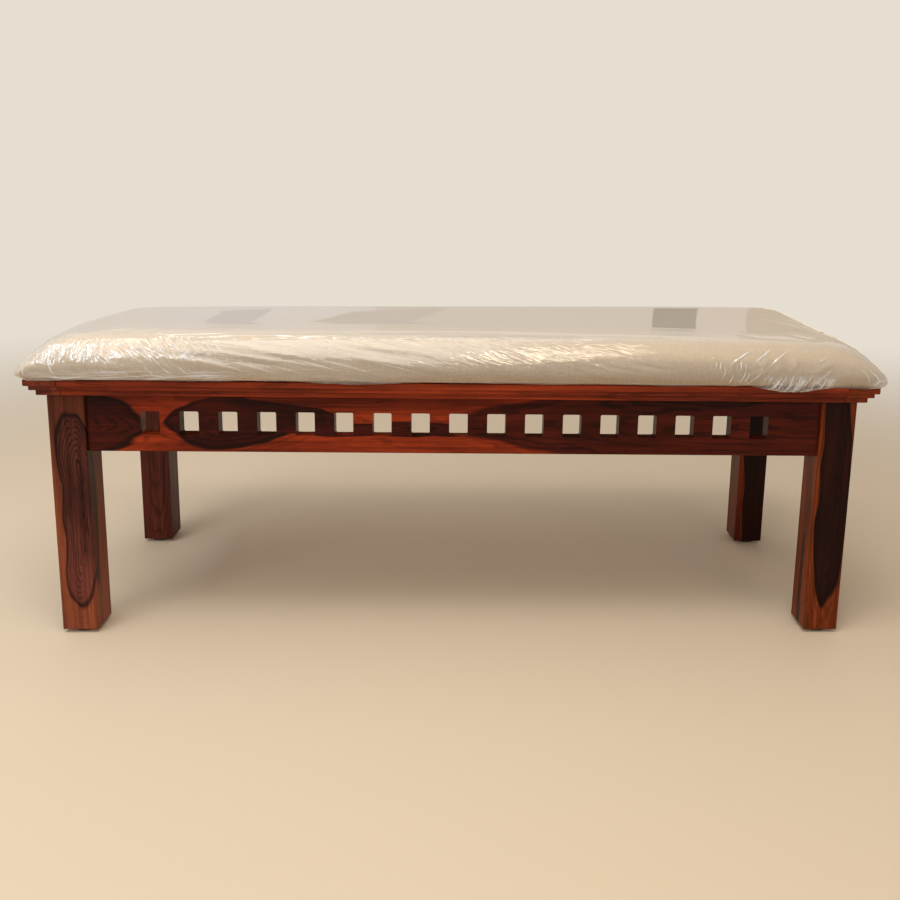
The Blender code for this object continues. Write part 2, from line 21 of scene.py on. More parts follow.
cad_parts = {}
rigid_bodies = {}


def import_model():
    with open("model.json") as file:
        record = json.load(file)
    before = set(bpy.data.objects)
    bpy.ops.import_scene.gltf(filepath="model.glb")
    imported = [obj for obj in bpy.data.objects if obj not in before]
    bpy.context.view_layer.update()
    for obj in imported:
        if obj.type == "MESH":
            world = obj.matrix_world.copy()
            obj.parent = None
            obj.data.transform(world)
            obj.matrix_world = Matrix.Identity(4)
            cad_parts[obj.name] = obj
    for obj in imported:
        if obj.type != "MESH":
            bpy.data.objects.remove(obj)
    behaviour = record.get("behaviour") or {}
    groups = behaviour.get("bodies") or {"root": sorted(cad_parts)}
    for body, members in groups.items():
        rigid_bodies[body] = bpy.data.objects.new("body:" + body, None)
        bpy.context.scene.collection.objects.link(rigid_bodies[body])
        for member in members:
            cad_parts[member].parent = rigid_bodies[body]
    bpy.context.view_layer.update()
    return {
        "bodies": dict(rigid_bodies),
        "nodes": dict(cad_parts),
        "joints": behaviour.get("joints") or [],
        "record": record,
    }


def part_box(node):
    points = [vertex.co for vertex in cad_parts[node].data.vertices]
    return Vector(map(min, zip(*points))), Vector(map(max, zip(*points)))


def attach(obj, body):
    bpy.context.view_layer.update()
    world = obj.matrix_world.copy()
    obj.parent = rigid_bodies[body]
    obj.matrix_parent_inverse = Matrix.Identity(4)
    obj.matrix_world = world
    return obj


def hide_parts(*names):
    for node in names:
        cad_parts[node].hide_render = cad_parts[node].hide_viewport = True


LOG = logging.getLogger("bench")
BODY = "root"
MILLIMETRE = 0.001
TINY = 1e-9

Pair = tuple[float, float]
Triple = tuple[float, float, float]
Colour = tuple[float, float, float, float]
Socket = bpy.types.NodeSocket
Sockets = dict[str, Socket]

X_AXIS: Triple = (1.0, 0.0, 0.0)
Y_AXIS: Triple = (0.0, 1.0, 0.0)
Z_AXIS: Triple = (0.0, 0.0, 1.0)
FLATTEN: Triple = (1.0, 1.0, 0.0)


def srgb(red: int, green: int, blue: int) -> Colour:
    """A colour written in 8-bit screen steps, as the linear colour that shaders take.

    Args:
        red: Red step, 0 to 255.
        green: Green step.
        blue: Blue step.

    Returns:
        Linear red, green, blue and an alpha of one.
    """
    shares = (step / 255 for step in (red, green, blue))
    channels = (s / 12.92 if s <= 0.04045 else ((s + 0.055) / 1.055) ** 2.4 for s in shares)
    return (*channels, 1.0)


def smoothstep(low: float, high: float, value: np.ndarray) -> np.ndarray:
    """Rise from 0 at low to 1 at high along the cubic 3t^2 - 2t^3.

    Args:
        low: Where the rise starts.
        high: Where it ends.
        value: Places to evaluate.

    Returns:
        Shares from 0 to 1.
    """
    share = np.clip((value - low) / (high - low), 0.0, 1.0)
    return share * share * (3 - 2 * share)


class Graph:
    """A shader node tree, with short calls that add a node and link what feeds it."""

    def __init__(self, tree: bpy.types.NodeTree) -> None:
        """Keep the tree that the nodes go into."""
        self.tree = tree

    def feed(self, socket: Socket, value: Any) -> None:
        """Link a socket to an input, or set a plain value on it.

        Args:
            socket: The input.
            value: A socket or a plain value.
        """
        if isinstance(value, bpy.types.NodeSocket):
            self.tree.links.new(value, socket)
        else:
            socket.default_value = value

    def feed_all(self, node: bpy.types.Node, inputs: dict[Any, Any]) -> None:
        """Feed several inputs of a node, by name or number."""
        for key, value in inputs.items():
            self.feed(node.inputs[key], value)

    def node(self, kind: str, inputs: dict[Any, Any] | None = None, **settings: Any) -> bpy.types.Node:
        """Add a node.

        Args:
            kind: Node type without its ShaderNode prefix.
            inputs: Sockets or plain values for the node's inputs, by name or number.
            settings: Properties of the node.

        Returns:
            The new node.
        """
        made = self.tree.nodes.new(f"ShaderNode{kind}")
        for name, value in settings.items():
            setattr(made, name, value)
        self.feed_all(made, inputs or {})
        return made

    def place(self) -> Socket:
        """The point's place in the bench's own coordinates."""
        return self.node("TexCoord").outputs["Object"]

    def attribute(self, name: str, output: str = "Vector") -> Socket:
        """What the piece's mesh stores under a name."""
        return self.node("Attribute", attribute_name=name).outputs[output]

    def math(self, operation: str, *values: Any, clamp: bool = False) -> Socket:
        """A Math node's result."""
        return self.node("Math", dict(enumerate(values)), operation=operation, use_clamp=clamp).outputs[0]

    def times(self, first: Any, second: Any) -> Socket:
        """The product of two values."""
        return self.math("MULTIPLY", first, second)

    def plus(self, first: Any, second: Any) -> Socket:
        """The sum of two values."""
        return self.math("ADD", first, second)

    def vector(self, operation: str, *values: Any) -> Socket:
        """A Vector Math node's vector result."""
        return self.node("VectorMath", dict(enumerate(values)), operation=operation).outputs["Vector"]

    def part(self, vector: Any, axis: Triple) -> Socket:
        """A vector's share along an axis."""
        return self.node("VectorMath", {0: vector, 1: axis}, operation="DOT_PRODUCT").outputs["Value"]

    def length(self, vector: Any) -> Socket:
        """A vector's length."""
        return self.node("VectorMath", {0: vector}, operation="LENGTH").outputs["Value"]

    def spread(self, value: Any, low: float, high: float, start: float = 0.0, end: float = 1.0) -> Socket:
        """Carry low..high smoothly onto start..end, with the ends held."""
        inputs = {"Value": value, "From Min": low, "From Max": high, "To Min": start, "To Max": end}
        return self.node("MapRange", inputs, interpolation_type="SMOOTHSTEP").outputs["Result"]

    def mix(self, share: Any, first: Any, second: Any, blend: str = "MIX") -> Socket:
        """Mix two colours, with a share of the second."""
        made = self.node("Mix", {0: share, 6: first, 7: second}, data_type="RGBA", blend_type=blend)
        return made.outputs[2]

    def noise(self, vector: Any, cells: Triple, detail: float, output: str = "Fac") -> Socket:
        """Noise with a number of cells in a metre along each axis.

        Args:
            vector: Place to read it at.
            cells: Cells in a metre along X, Y and Z.
            detail: Octaves.
            output: The noise as a value, Fac, or as a vector, Color.

        Returns:
            The noise.
        """
        place = self.vector("MULTIPLY", vector, cells)
        return self.node("TexNoise", {"Vector": place, "Scale": 1.0, "Detail": detail}).outputs[output]

    def bump(self, height: Any, strength: float, distance: float, **inputs: Any) -> Socket:
        """The normal that a relief gives."""
        relief = {"Height": height, "Strength": strength, "Distance": distance, **inputs}
        return self.node("Bump", relief).outputs["Normal"]


class SocketKind(Enum):
    """Kinds of group socket."""

    VALUE = "NodeSocketFloat"
    VECTOR = "NodeSocketVector"
    COLOUR = "NodeSocketColor"


class ShaderGroup:
    """A node group that materials share. A subclass names its sockets and fills it once."""

    name = ""
    takes: dict[str, SocketKind] = {}
    gives: dict[str, SocketKind] = {}

    def tree(self) -> bpy.types.NodeTree:
        """The group's tree, made at its first use.

        Returns:
            The tree.
        """
        if self.name in bpy.data.node_groups:
            return bpy.data.node_groups[self.name]
        tree = bpy.data.node_groups.new(self.name, "ShaderNodeTree")
        for way, sockets in (("INPUT", self.takes), ("OUTPUT", self.gives)):
            for label, kind in sockets.items():
                tree.interface.new_socket(label, in_out=way, socket_type=kind.value)
        graph = Graph(tree)
        given = tree.nodes.new("NodeGroupInput").outputs
        results = self.fill(graph, {label: given[label] for label in self.takes})
        graph.feed_all(tree.nodes.new("NodeGroupOutput"), results)
        return tree

    def fill(self, graph: Graph, given: Sockets) -> Sockets:
        """Add the group's nodes and return the socket behind each output."""
        raise NotImplementedError

    def use(self, graph: Graph, **inputs: Any) -> Sockets:
        """Place the group in a material.

        Args:
            graph: The material's tree.
            inputs: Sockets or values by input name.

        Returns:
            The group node's outputs by name.
        """
        node = graph.node("Group", node_tree=self.tree())
        graph.feed_all(node, inputs)
        return {label: node.outputs[label] for label in self.gives}


class GrainDrift(ShaderGroup):
    """Lets a board's figure wander: adds slow noise, long along the grain, to the place that is read."""

    name = "grain_drift"
    takes = {"Place": SocketKind.VECTOR, "Grain": SocketKind.VECTOR, "Reach": SocketKind.VECTOR}
    gives = {"Place": SocketKind.VECTOR}
    slow = ((6.0, 24.0, 24.0), 1.0)
    quick = ((16.0, 60.0, 60.0), 0.16)

    def fill(self, graph: Graph, given: Sockets) -> Sockets:
        """Place + Reach * (slow noise - 1/2) + a little of the same with quick noise.

        Args:
            graph: The group's tree.
            given: Its inputs by name.

        Returns:
            Its results by name.
        """
        place = given["Place"]
        for cells, share in (self.slow, self.quick):
            noise = graph.noise(given["Grain"], cells, 2.0, "Color")
            centred = graph.vector("SUBTRACT", noise, (0.5, 0.5, 0.5))
            drift = graph.vector("MULTIPLY", centred, given["Reach"])
            place = graph.vector("ADD", place, graph.vector("MULTIPLY", drift, (share,) * 3))
        return {"Place": place}


class TimberGrain(ShaderGroup):
    """Colour, roughness and relief of a board whose grain runs along X of its Grain vector.

    Field grows outwards from the dark masses and is 1 at their rim, so its level lines are the growth
    rings.
    """

    name = "timber_grain"
    takes = {
        "Grain": SocketKind.VECTOR,
        "Field": SocketKind.VALUE,
        "Dark": SocketKind.VALUE,
        "Rings": SocketKind.VALUE,
        "Sapwood": SocketKind.COLOUR,
        "Heartwood": SocketKind.COLOUR,
        "Seam": SocketKind.COLOUR,
    }
    gives = {"Color": SocketKind.COLOUR, "Roughness": SocketKind.VALUE, "Height": SocketKind.VALUE}
    streak_cells = (5.0, 210.0, 210.0)
    blotch_cells = (6.0, 30.0, 30.0)
    wobble_cells = (14.0, 70.0, 70.0)
    pore_cells = (60.0, 1500.0, 1500.0)
    patch_cells = (9.0, 60.0, 60.0)
    ring_wobble = 1.6
    ring_depth = 0.85
    rim_depth = 0.90
    pore_depth = 0.38
    pore_roughness = 0.16
    streak_relief = 0.35

    def fill(self, graph: Graph, given: Sockets) -> Sockets:
        """Mix sapwood and ringed heartwood by Dark, then lay streaks, blotches and pores over both.

        Args:
            graph: The group's tree.
            given: Its inputs by name.

        Returns:
            Its results by name.
        """
        grain, field = given["Grain"], given["Field"]
        sapwood, heartwood, seam = given["Sapwood"], given["Heartwood"], given["Seam"]
        streak = graph.noise(grain, self.streak_cells, 4.0)
        blotch = graph.noise(grain, self.blotch_cells, 3.0)
        wobble = graph.noise(grain, self.wobble_cells, 2.0)
        pores = graph.spread(graph.noise(grain, self.pore_cells, 1.0), 0.58, 0.70)

        phase = graph.plus(graph.times(field, given["Rings"]), graph.times(wobble, self.ring_wobble))
        wave = graph.math("SINE", graph.times(phase, 2 * math.pi))
        patchy = graph.spread(graph.noise(grain, self.patch_cells, 2.0), 0.34, 0.60)
        ring = graph.times(graph.spread(wave, 0.20, 0.96), patchy)
        faint_ring = graph.times(ring, graph.spread(field, 1.0, 1.8, 0.45, 0.10))

        sap = graph.mix(graph.spread(blotch, 0.38, 0.70, 0.0, 0.55), sapwood, heartwood)
        sap = graph.mix(faint_ring, sap, heartwood)
        heart = graph.mix(graph.spread(blotch, 0.36, 0.66, 0.0, 0.70), heartwood, seam)
        heart = graph.mix(graph.times(ring, self.ring_depth), heart, seam)
        rim = graph.times(graph.spread(field, 0.84, 0.97), self.rim_depth)
        heart = graph.mix(rim, heart, seam)
        wood = graph.mix(given["Dark"], sap, heart)
        tone = graph.spread(streak, 0.28, 0.74, 0.66, 1.30)
        grey = graph.node("CombineColor", {0: tone, 1: tone, 2: tone}).outputs[0]
        wood = graph.mix(1.0, wood, grey, "MULTIPLY")
        wood = graph.mix(graph.times(pores, self.pore_depth), wood, seam)

        roughness = graph.spread(streak, 0.25, 0.75, 0.27, 0.40)
        roughness = graph.plus(roughness, graph.times(pores, self.pore_roughness))
        height = graph.math("SUBTRACT", graph.times(streak, self.streak_relief), pores)
        return {"Color": wood, "Roughness": roughness, "Height": height}


class PlainWeave(ShaderGroup):
    """A plain weave of uneven yarns, with its warp along X and its weft along Y of the Cloth vector."""

    name = "plain_weave"
    takes = {"Cloth": SocketKind.VECTOR, "Light": SocketKind.COLOUR, "Shade": SocketKind.COLOUR}
    gives = {"Color": SocketKind.COLOUR, "Height": SocketKind.VALUE}
    pitch = 1.15 * MILLIMETRE
    warp_cells = (40.0, 600.0, 40.0)
    weft_cells = (600.0, 40.0, 40.0)
    mottle_cells = (260.0, 320.0, 260.0)
    slub_tone = 0.36
    over_tone = 0.20
    mottle_tone = 0.60
    relief = 0.6

    def fill(self, graph: Graph, given: Sockets) -> Sockets:
        """Two crossed sine yarns, each over the other in turn, and slubs: noise drawn out along each yarn.

        Args:
            graph: The group's tree.
            given: Its inputs by name.

        Returns:
            Its results by name.
        """
        cloth = given["Cloth"]
        turns = math.pi / self.pitch
        warp = graph.math("SINE", graph.times(graph.part(cloth, X_AXIS), turns))
        weft = graph.math("SINE", graph.times(graph.part(cloth, Y_AXIS), turns))
        over = graph.spread(graph.times(warp, weft), -0.8, 0.8)
        along_warp = graph.noise(cloth, self.warp_cells, 3.0)
        along_weft = graph.noise(cloth, self.weft_cells, 3.0)
        slub = graph.math("MAXIMUM", along_warp, along_weft)
        mottle = graph.noise(cloth, self.mottle_cells, 3.0)
        tone = graph.times(graph.spread(slub, 0.40, 0.80), self.slub_tone)
        tone = graph.plus(tone, graph.times(over, self.over_tone))
        tone = graph.math("ADD", tone, graph.times(mottle, self.mottle_tone), clamp=True)
        height = graph.plus(graph.times(over, self.relief), graph.times(slub, self.relief))
        return {"Color": graph.mix(tone, given["Shade"], given["Light"]), "Height": height}


class CreaseLines(ShaderGroup):
    """Running creases of thin film: level lines of noise over a place whose Z is how sharp they are."""

    name = "crease_lines"
    takes = {"Place": SocketKind.VECTOR}
    gives = {"Height": SocketKind.VALUE}
    scales = ((1.0, 1.0), (2.3, 0.6))

    def fill(self, graph: Graph, given: Sockets) -> Sockets:
        """(1 - |2n - 1|)^Z of noise n, the higher of two scales.

        Args:
            graph: The group's tree.
            given: Its inputs by name.

        Returns:
            Its results by name.
        """
        flat = graph.vector("MULTIPLY", given["Place"], FLATTEN)
        sharp = graph.part(given["Place"], Z_AXIS)
        lines = []
        for scale, weight in self.scales:
            noise = graph.node("TexNoise", {"Vector": flat, "Scale": scale, "Detail": 2.0}).outputs["Fac"]
            off = graph.math("ABSOLUTE", graph.math("MULTIPLY_ADD", noise, 2.0, -1.0))
            line = graph.math("POWER", graph.math("SUBTRACT", 1.0, off, clamp=True), sharp)
            lines.append(graph.times(line, weight))
        return {"Height": graph.math("MAXIMUM", *lines)}


class CreaseDashes(ShaderGroup):
    """Separate straight creases of thin film: a dash in each Voronoi cell.

    The place's Z is a dash's half width.
    """

    name = "crease_dashes"
    takes = {"Place": SocketKind.VECTOR}
    gives = {"Height": SocketKind.VALUE}
    half_length = 0.48
    shear = 0.8

    def fill(self, graph: Graph, given: Sockets) -> Sockets:
        """(1 - a^2) * exp(-c^2) of the way along, a, and across, c, each cell's own sheared dash.

        Args:
            graph: The group's tree.
            given: Its inputs by name.

        Returns:
            Its results by name.
        """
        flat = graph.vector("MULTIPLY", given["Place"], FLATTEN)
        width = graph.part(given["Place"], Z_AXIS)
        cell = graph.node("TexVoronoi", {"Vector": flat, "Scale": 1.0}, voronoi_dimensions="2D")
        draw = cell.outputs["Color"]
        away = graph.vector("SUBTRACT", flat, cell.outputs["Position"])
        along = graph.part(away, X_AXIS)
        lean = graph.times(graph.math("SUBTRACT", graph.part(draw, X_AXIS), 0.5), self.shear)
        across = graph.math("MULTIPLY_ADD", along, lean, graph.part(away, Y_AXIS))
        across = graph.math("DIVIDE", across, width)
        along = graph.math("DIVIDE", along, self.half_length)
        fade = graph.math("SUBTRACT", 1.0, graph.times(along, along), clamp=True)
        line = graph.math("EXPONENT", graph.times(graph.times(across, across), -1.0))
        drawn = graph.spread(graph.part(draw, Y_AXIS), 0.15, 0.95)
        return {"Height": graph.times(graph.times(fade, line), drawn)}


GRAIN_DRIFT = GrainDrift()
TIMBER_GRAIN = TimberGrain()
PLAIN_WEAVE = PlainWeave()
CREASE_LINES = CreaseLines()
CREASE_DASHES = CreaseDashes()


def new_material(name: str) -> tuple[bpy.types.Material, Graph, bpy.types.Node]:
    """A material with a Principled shader.

    Args:
        name: The material's name.

    Returns:
        The material, its graph and its shader node.
    """
    material = bpy.data.materials.new(name)
    material.use_nodes = True
    return material, Graph(material.node_tree), material.node_tree.nodes["Principled BSDF"]


class GrainAxis(Enum):
    """Which way a board's grain runs. The value turns that way onto X, in degrees about X, Y and Z."""

    X = (0.0, 0.0, 0.0)
    Y = (0.0, 0.0, -90.0)
    Z = (0.0, 90.0, 0.0)

    def lay(self, along: float, across: float) -> Triple:
        """A value along the grain and one across it, laid out along X, Y and Z."""
        return tuple(along if axis == self.name else across for axis in "XYZ")

    def grain(self, graph: Graph, place: Socket, offset: float, fineness: float = 1.0) -> Socket:
        """A board's own coordinates, with its grain along X.

        Args:
            graph: The material's tree.
            place: Place on the bench.
            offset: How far the figure is moved, so that no two boards match.
            fineness: How much closer the figure is across the grain.

        Returns:
            The coordinates.
        """
        mapping = {
            "Vector": place,
            "Location": (offset,) * 3,
            "Rotation": tuple(math.radians(angle) for angle in self.value),
            "Scale": self.lay(1.0, fineness),
        }
        return graph.node("Mapping", mapping).outputs["Vector"]


@dataclass(frozen=True)
class TimberTones:
    """A timber's tones: its pale outer wood, its heartwood, and its darkest rings and seams."""

    sapwood: Colour
    heartwood: Colour
    seam: Colour

    @classmethod
    def of(cls, *steps: tuple[int, int, int]) -> TimberTones:
        """The three tones from 8-bit screen steps."""
        return cls(*(srgb(*step) for step in steps))

    def look(self, graph: Graph, grain: Socket, field: Any, dark: Any, rings: float) -> Sockets:
        """Timber grain in these tones.

        Args:
            graph: The material's tree.
            grain: The board's own coordinates.
            field: What the growth rings are level lines of.
            dark: Mask of the heartwood.
            rings: Rings in one step of the field.

        Returns:
            Colour, roughness and height by name.
        """
        tones = {"Sapwood": self.sapwood, "Heartwood": self.heartwood, "Seam": self.seam}
        return TIMBER_GRAIN.use(graph, Grain=grain, Field=field, Dark=dark, Rings=rings, **tones)


@dataclass(frozen=True)
class HeartMass:
    """A rounded mass of dark heartwood inside a board, an ellipsoid in the bench's own coordinates.

    depth is how dark it gets, edge how softly it starts, and lean turns it about Y, in degrees.
    """

    centre: Triple
    reach: Triple
    depth: float = 1.0
    lean: float = 0.0
    edge: float = 0.045


@dataclass(frozen=True)
class Rosewood:
    """Lacquered rosewood of one board: pale outer wood round masses of dark heartwood.

    drift is how far the figure wanders along and across the grain, and blend how masses flow together.
    dusk is painted shade: how far the colour darkens from a leg's foot, at dusk_from, up
    to its top, at dusk_to, where the leg gets less light.
    """

    axis: GrainAxis
    masses: tuple[HeartMass, ...]
    tones: TimberTones = TimberTones.of((140, 48, 19), (70, 22, 12), (32, 9, 7))
    rings: float = 7.0
    offset: float = 0.0
    fineness: float = 1.0
    drift: Pair = (0.090, 0.024)
    far: float = 9.0
    blend: float = 0.25
    dusk: float = 0.0
    dusk_from: float = 0.03
    dusk_to: float = 0.36
    gloss: float = 0.07
    lacquer: float = 0.06
    lacquer_roughness: float = 0.14
    relief: Pair = (0.12, 0.0004)
    edge_radius: float = 0.8 * MILLIMETRE

    def material(self, name: str) -> bpy.types.Material:
        """Build the finish.

        Args:
            name: The material's name.

        Returns:
            The material.
        """
        material, graph, shader = new_material(name)
        place = graph.place()
        grain = self.axis.grain(graph, place, self.offset, self.fineness)
        wander = self.axis.lay(*self.drift)
        wandered = GRAIN_DRIFT.use(graph, Place=place, Grain=grain, Reach=wander)["Place"]
        field, dark = self.heart(graph, wandered)
        look = self.tones.look(graph, grain, field, dark, self.rings)
        rounded = graph.node("Bevel", {"Radius": self.edge_radius}, samples=4).outputs["Normal"]
        # Painted shade: the colour is scaled down from the foot up to the top, for the lesser light on the
        # leg's top
        fade = graph.spread(graph.part(place, Z_AXIS), self.dusk_from, self.dusk_to, 1.0, 1.0 - self.dusk)
        shade_painted_colour = graph.node("VectorMath", {0: look["Color"], "Scale": fade}, operation="SCALE")
        surface = {
            "Base Color": shade_painted_colour.outputs["Vector"],
            "Roughness": look["Roughness"],
            "Normal": graph.bump(look["Height"], *self.relief, Normal=rounded),
            "Specular IOR Level": self.gloss,
            "Coat Weight": self.lacquer,
            "Coat Roughness": self.lacquer_roughness,
        }
        graph.feed_all(shader, surface)
        return material

    def heart(self, graph: Graph, place: Socket) -> tuple[Any, Any]:
        """The dark masses, as the nearest one's ellipsoid distance and as the darkest one's mask.

        Args:
            graph: The material's tree.
            place: Where to read them.

        Returns:
            The distance, 1 at a rim, and the mask.
        """
        field: Any = self.far
        dark: Any = 0.0
        for mass in self.masses:
            inputs = {
                "Vector": place,
                "Location": mass.centre,
                "Rotation": (0.0, math.radians(mass.lean), 0.0),
                "Scale": mass.reach,
            }
            away = graph.length(graph.node("Mapping", inputs, vector_type="TEXTURE").outputs["Vector"])
            mask = graph.spread(away, 1 - mass.edge, 1 + mass.edge, mass.depth, 0.0)
            field = graph.math("SMOOTH_MIN", field, away, self.blend)
            dark = graph.math("MAXIMUM", dark, mask)
        return field, dark


@dataclass(frozen=True)
class PlainTimber:
    """Bare or thinly sealed inner timber."""

    axis: GrainAxis
    tones: TimberTones = TimberTones.of((150, 88, 52), (112, 58, 34), (74, 36, 22))
    rings: float = 34.0
    offset: float = 0.0
    roughness: float = 0.25
    figure_cells: Triple = (2.5, 14.0, 14.0)
    relief: Pair = (0.25, 0.0005)

    def material(self, name: str) -> bpy.types.Material:
        """Build the finish: growth rings from slow noise long along the grain, and no gloss coat.

        Args:
            name: The material's name.

        Returns:
            The material.
        """
        material, graph, shader = new_material(name)
        grain = self.axis.grain(graph, graph.place(), self.offset)
        slow = graph.noise(grain, self.figure_cells, 2.0)
        dark = graph.spread(slow, 0.35, 0.75, 0.0, 0.8)
        look = self.tones.look(graph, grain, slow, dark, self.rings)
        surface = {
            "Base Color": look["Color"],
            "Roughness": graph.plus(look["Roughness"], self.roughness),
            "Normal": graph.bump(look["Height"], *self.relief),
        }
        graph.feed_all(shader, surface)
        return material


@dataclass(frozen=True)
class ZincSteel:
    """Bright zinc on steel screws, dulled in patches."""

    bright: Colour = srgb(205, 204, 198)
    dull: Colour = srgb(150, 148, 140)
    patch_cells: Triple = (700.0, 700.0, 700.0)

    def material(self, name: str) -> bpy.types.Material:
        """Build the finish.

        Args:
            name: The material's name.

        Returns:
            The material.
        """
        material, graph, shader = new_material(name)
        patch = graph.noise(graph.place(), self.patch_cells, 3.0)
        surface = {
            "Base Color": graph.mix(patch, self.dull, self.bright),
            "Roughness": graph.spread(patch, 0.3, 0.7, 0.42, 0.24),
            "Metallic": 1.0,
        }
        graph.feed_all(shader, surface)
        return material


@dataclass(frozen=True)
class BlackPlastic:
    """Moulded black plastic with a fine grain."""

    fresh: Colour = srgb(26, 25, 25)
    scuffed: Colour = srgb(58, 55, 52)
    scuff_cells: Triple = (260.0, 260.0, 90.0)
    grain_cells: Triple = (2200.0, 2200.0, 2200.0)
    relief: Pair = (0.2, 0.0002)

    def material(self, name: str) -> bpy.types.Material:
        """Build the finish.

        Args:
            name: The material's name.

        Returns:
            The material.
        """
        material, graph, shader = new_material(name)
        place = graph.place()
        scuff = graph.noise(place, self.scuff_cells, 4.0)
        surface = {
            "Base Color": graph.mix(graph.spread(scuff, 0.5, 0.8), self.fresh, self.scuffed),
            "Roughness": graph.spread(scuff, 0.3, 0.8, 0.42, 0.62),
            "Normal": graph.bump(graph.noise(place, self.grain_cells, 1.0), *self.relief),
        }
        graph.feed_all(shader, surface)
        return material


@dataclass(frozen=True)
class WovenLinen:
    """Oatmeal upholstery cloth of uneven yarns. Its threads follow the piece's cloth attribute."""

    light: Colour = srgb(234, 216, 190)
    shade: Colour = srgb(192, 168, 138)
    roughness: float = 0.88
    sheen: float = 0.12
    sheen_roughness: float = 0.5
    relief: Pair = (0.35, 0.0004)
    attribute: str = "cloth"

    def material(self, name: str) -> bpy.types.Material:
        """Build the finish.

        Args:
            name: The material's name.

        Returns:
            The material.
        """
        material, graph, shader = new_material(name)
        cloth = graph.attribute(self.attribute)
        look = PLAIN_WEAVE.use(graph, Cloth=cloth, Light=self.light, Shade=self.shade)
        surface = {
            "Base Color": look["Color"],
            "Roughness": self.roughness,
            "Normal": graph.bump(look["Height"], *self.relief),
            "Sheen Weight": self.sheen,
            "Sheen Roughness": self.sheen_roughness,
        }
        graph.feed_all(shader, surface)
        return material


class CreaseKind(Enum):
    """How a layer's creases run."""

    LINES = CREASE_LINES
    DASHES = CREASE_DASHES


@dataclass(frozen=True)
class CreaseField:
    """Creases of one slope, in degrees, over a stretch of the wrap, in metres round it and up it.

    grain is cells in a metre along and across the slope, fine is a line's sharpness or a dash's half width,
    and fade is how softly the stretch ends round the wrap and up it.
    """

    around: Pair
    up: Pair
    slope: float
    grain: Pair
    fine: float
    depth: float
    haze: float
    fade: Pair = (0.03, 0.008)

    def mask(self, around: np.ndarray, up: np.ndarray) -> np.ndarray:
        """Share of the creases that shows at each point: a smooth step up and down both ways.

        Args:
            around: Metres round the wrap.
            up: Metres up it.

        Returns:
            Shares from 0 to 1.
        """
        share = np.ones_like(up)
        for place, (low, high), soft in zip((around, up), (self.around, self.up), self.fade):
            share = share * smoothstep(low - soft, low + soft, place)
            share = share * smoothstep(high + soft, high - soft, place)
        return share

    def place(self, around: np.ndarray, up: np.ndarray) -> np.ndarray:
        """Cells along and across the slope at each point, and the fineness as Z.

        Args:
            around: Metres round the wrap.
            up: Metres up it.

        Returns:
            Points by XYZ.
        """
        turn = math.radians(self.slope)
        along = around * math.cos(turn) + up * math.sin(turn)
        across = up * math.cos(turn) - around * math.sin(turn)
        fine = np.full_like(up, self.fine)
        return np.stack([along * self.grain[0], across * self.grain[1], fine], axis=-1)


@dataclass(frozen=True)
class CreaseLayer:
    """Fields of one kind, side by side, so that each point of the wrap shows the strongest one alone."""

    name: str
    kind: CreaseKind
    fields: tuple[CreaseField, ...]

    def record(self, mesh: bpy.types.Mesh, around: np.ndarray, up: np.ndarray) -> None:
        """Store each point's place in the pattern, and how deep and how hazy its creases are.

        Args:
            mesh: The wrap's mesh.
            around: Metres round the wrap at each point.
            up: Metres up it.
        """
        place = np.zeros((len(up), 3))
        place[:, 2] = 1.0
        shown = np.zeros_like(up)
        amount = np.zeros((len(up), 3))
        for field in self.fields:
            mask = field.mask(around, up)
            stronger = mask > shown
            place[stronger] = field.place(around, up)[stronger]
            amount[stronger] = mask[stronger, None] * field.depth * np.array([1.0, field.haze, 0.0])
            shown = np.maximum(shown, mask)
        write_attribute(mesh, f"{self.name}_place", place)
        write_attribute(mesh, f"{self.name}_amount", amount)

    def look(self, graph: Graph) -> tuple[Socket, Socket]:
        """The layer's creases in a material.

        Args:
            graph: The material's tree.

        Returns:
            Their height and their haze.
        """
        place = graph.attribute(f"{self.name}_place")
        amount = graph.attribute(f"{self.name}_amount")
        raised = self.kind.value.use(graph, Place=place)["Height"]
        height = graph.times(raised, graph.part(amount, X_AXIS))
        return height, graph.times(raised, graph.part(amount, Y_AXIS))


